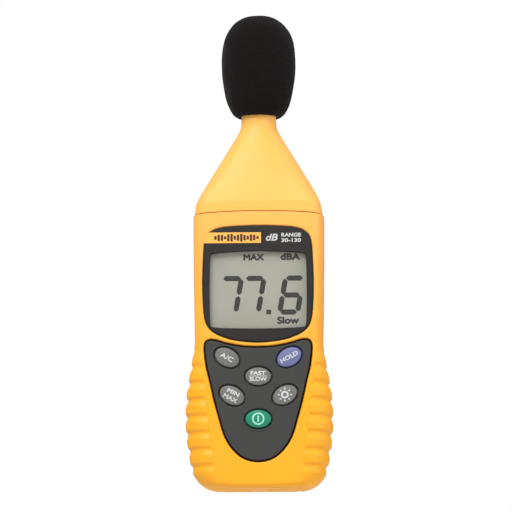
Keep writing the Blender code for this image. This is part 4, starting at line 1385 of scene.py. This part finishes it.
make_front_case()
make_rear_case()
make_tongue()
make_door()
make_nose()
make_windscreen()
make_mic_cap()
make_mic_element()
make_mic_tube()
make_bezel()
make_name_plate()
make_bezel_print()
make_lens()
make_screen()
make_keypad()
make_power_guard()
for key in KEYS:
    make_key(key)
make_legends()
make_jack("output_jack", "signal_socket", 3.2, 1.8, 0)
make_jack("power_jack", "power_socket", 4.2, 3.15, 1.0)
make_trimmer()
make_screws()
make_insert()
make_label()

for part in frame["record"]["subparts"]:
    node = frame["nodes"][part["node"]]
    node.data.materials.clear()
    node.data.materials.append(MATERIALS[part["material_slot"]])


# ---------------------------------------------------------------- floor, light and camera

def make_floor():
    """A pale floor that is clear from below, so that a low camera looks past it."""
    below = Matrix.Translation((0, 0, -0.0005))
    bm = bmesh.new()
    bmesh.ops.create_grid(bm, x_segments=2, y_segments=2, size=4.0, matrix=below)
    floor = placed("floor", mesh_of("floor", bm))
    material = bpy.data.materials.new("floor")
    material.use_nodes = True
    tree = material.node_tree
    surface = tree.nodes["Principled BSDF"]
    fill(tree, surface, {"Base Color": (0.86, 0.86, 0.86, 1), "Roughness": 0.9,
                         "Emission Color": (1, 1, 1, 1), "Emission Strength": 0.25})
    behind = add_node(tree, "ShaderNodeNewGeometry", {}).outputs["Backfacing"]
    clear = add_node(tree, "ShaderNodeBsdfTransparent", {})
    mix_into(tree, "Material Output", behind, surface.outputs["BSDF"], clear.outputs["BSDF"])
    floor.data.materials.append(material)
    for ray in ("visible_diffuse", "visible_glossy", "visible_transmission", "visible_shadow"):
        setattr(floor, ray, False)


def make_world():
    """A white studio: what lights the object is brighter above than at the sides and below."""
    world = bpy.data.worlds.new("studio")
    bpy.context.scene.world = world
    world.use_nodes = True
    tree = world.node_tree
    place = add_node(tree, "ShaderNodeTexCoord", {})
    parts = add_node(tree, "ShaderNodeSeparateXYZ", {"Vector": place.outputs["Generated"]})
    up = add_node(tree, "ShaderNodeMapRange", {"Value": parts.outputs["Z"], "From Min": -1})
    ramp = add_node(tree, "ShaderNodeValToRGB", {"Fac": up.outputs["Result"]})
    stops = ramp.color_ramp.elements
    for height, value in ((0.0, 1.0), (0.35, 0.75), (0.5, 0.45), (0.75, 0.5), (1.0, 0.9)):
        stop = stops.new(height)
        stop.color = (value, value, value, 1)
    stops.remove(stops[0])
    stops.remove(stops[-1])
    background = tree.nodes["Background"]
    fill(tree, background, {"Color": ramp.outputs["Color"]})
    backdrop = add_node(tree, "ShaderNodeBackground", {"Color": (1, 1, 1, 1)})
    seen = add_node(tree, "ShaderNodeLightPath", {}).outputs["Is Camera Ray"]
    mix_into(tree, "World Output", seen, background.outputs["Background"], backdrop.outputs["Background"])


def make_light(name, place, target, power):
    light = bpy.data.lights.new(name, "AREA")
    light.shape = "DISK"
    light.size = 0.9
    light.energy = power
    lamp = placed(name, light)
    lamp.location = place
    lamp.rotation_euler = (Vector(target) - Vector(place)).to_track_quat("-Z", "Y").to_euler()


def make_camera():
    """A long lens in front of the meter, a little below it and to its right."""
    target = Vector((-0.0016, 0.0, 0.1185))
    low, aside, roll = math.radians(-8), math.radians(2.5), math.radians(-0.15)
    camera = bpy.data.cameras.new("camera")
    camera.sensor_width = 36
    camera.lens = 279.2
    holder = placed("camera", camera)
    away = Vector((math.sin(aside) * math.cos(low), -math.cos(aside) * math.cos(low), math.sin(low)))
    holder.location = target + 2 * away
    look = (-away).to_track_quat("-Z", "Y") @ Quaternion((0, 0, 1), roll)
    holder.rotation_euler = look.to_euler()
    bpy.context.scene.camera = holder


make_floor()
make_world()
make_light("key", (-0.4, -0.9, 1.0), (0, 0, 0.13), 14.5)
make_light("fill", (1.1, -0.7, 0.35), (0, 0, 0.1), 5.0)
make_camera()
bpy.context.scene.view_settings.view_transform = "Standard"
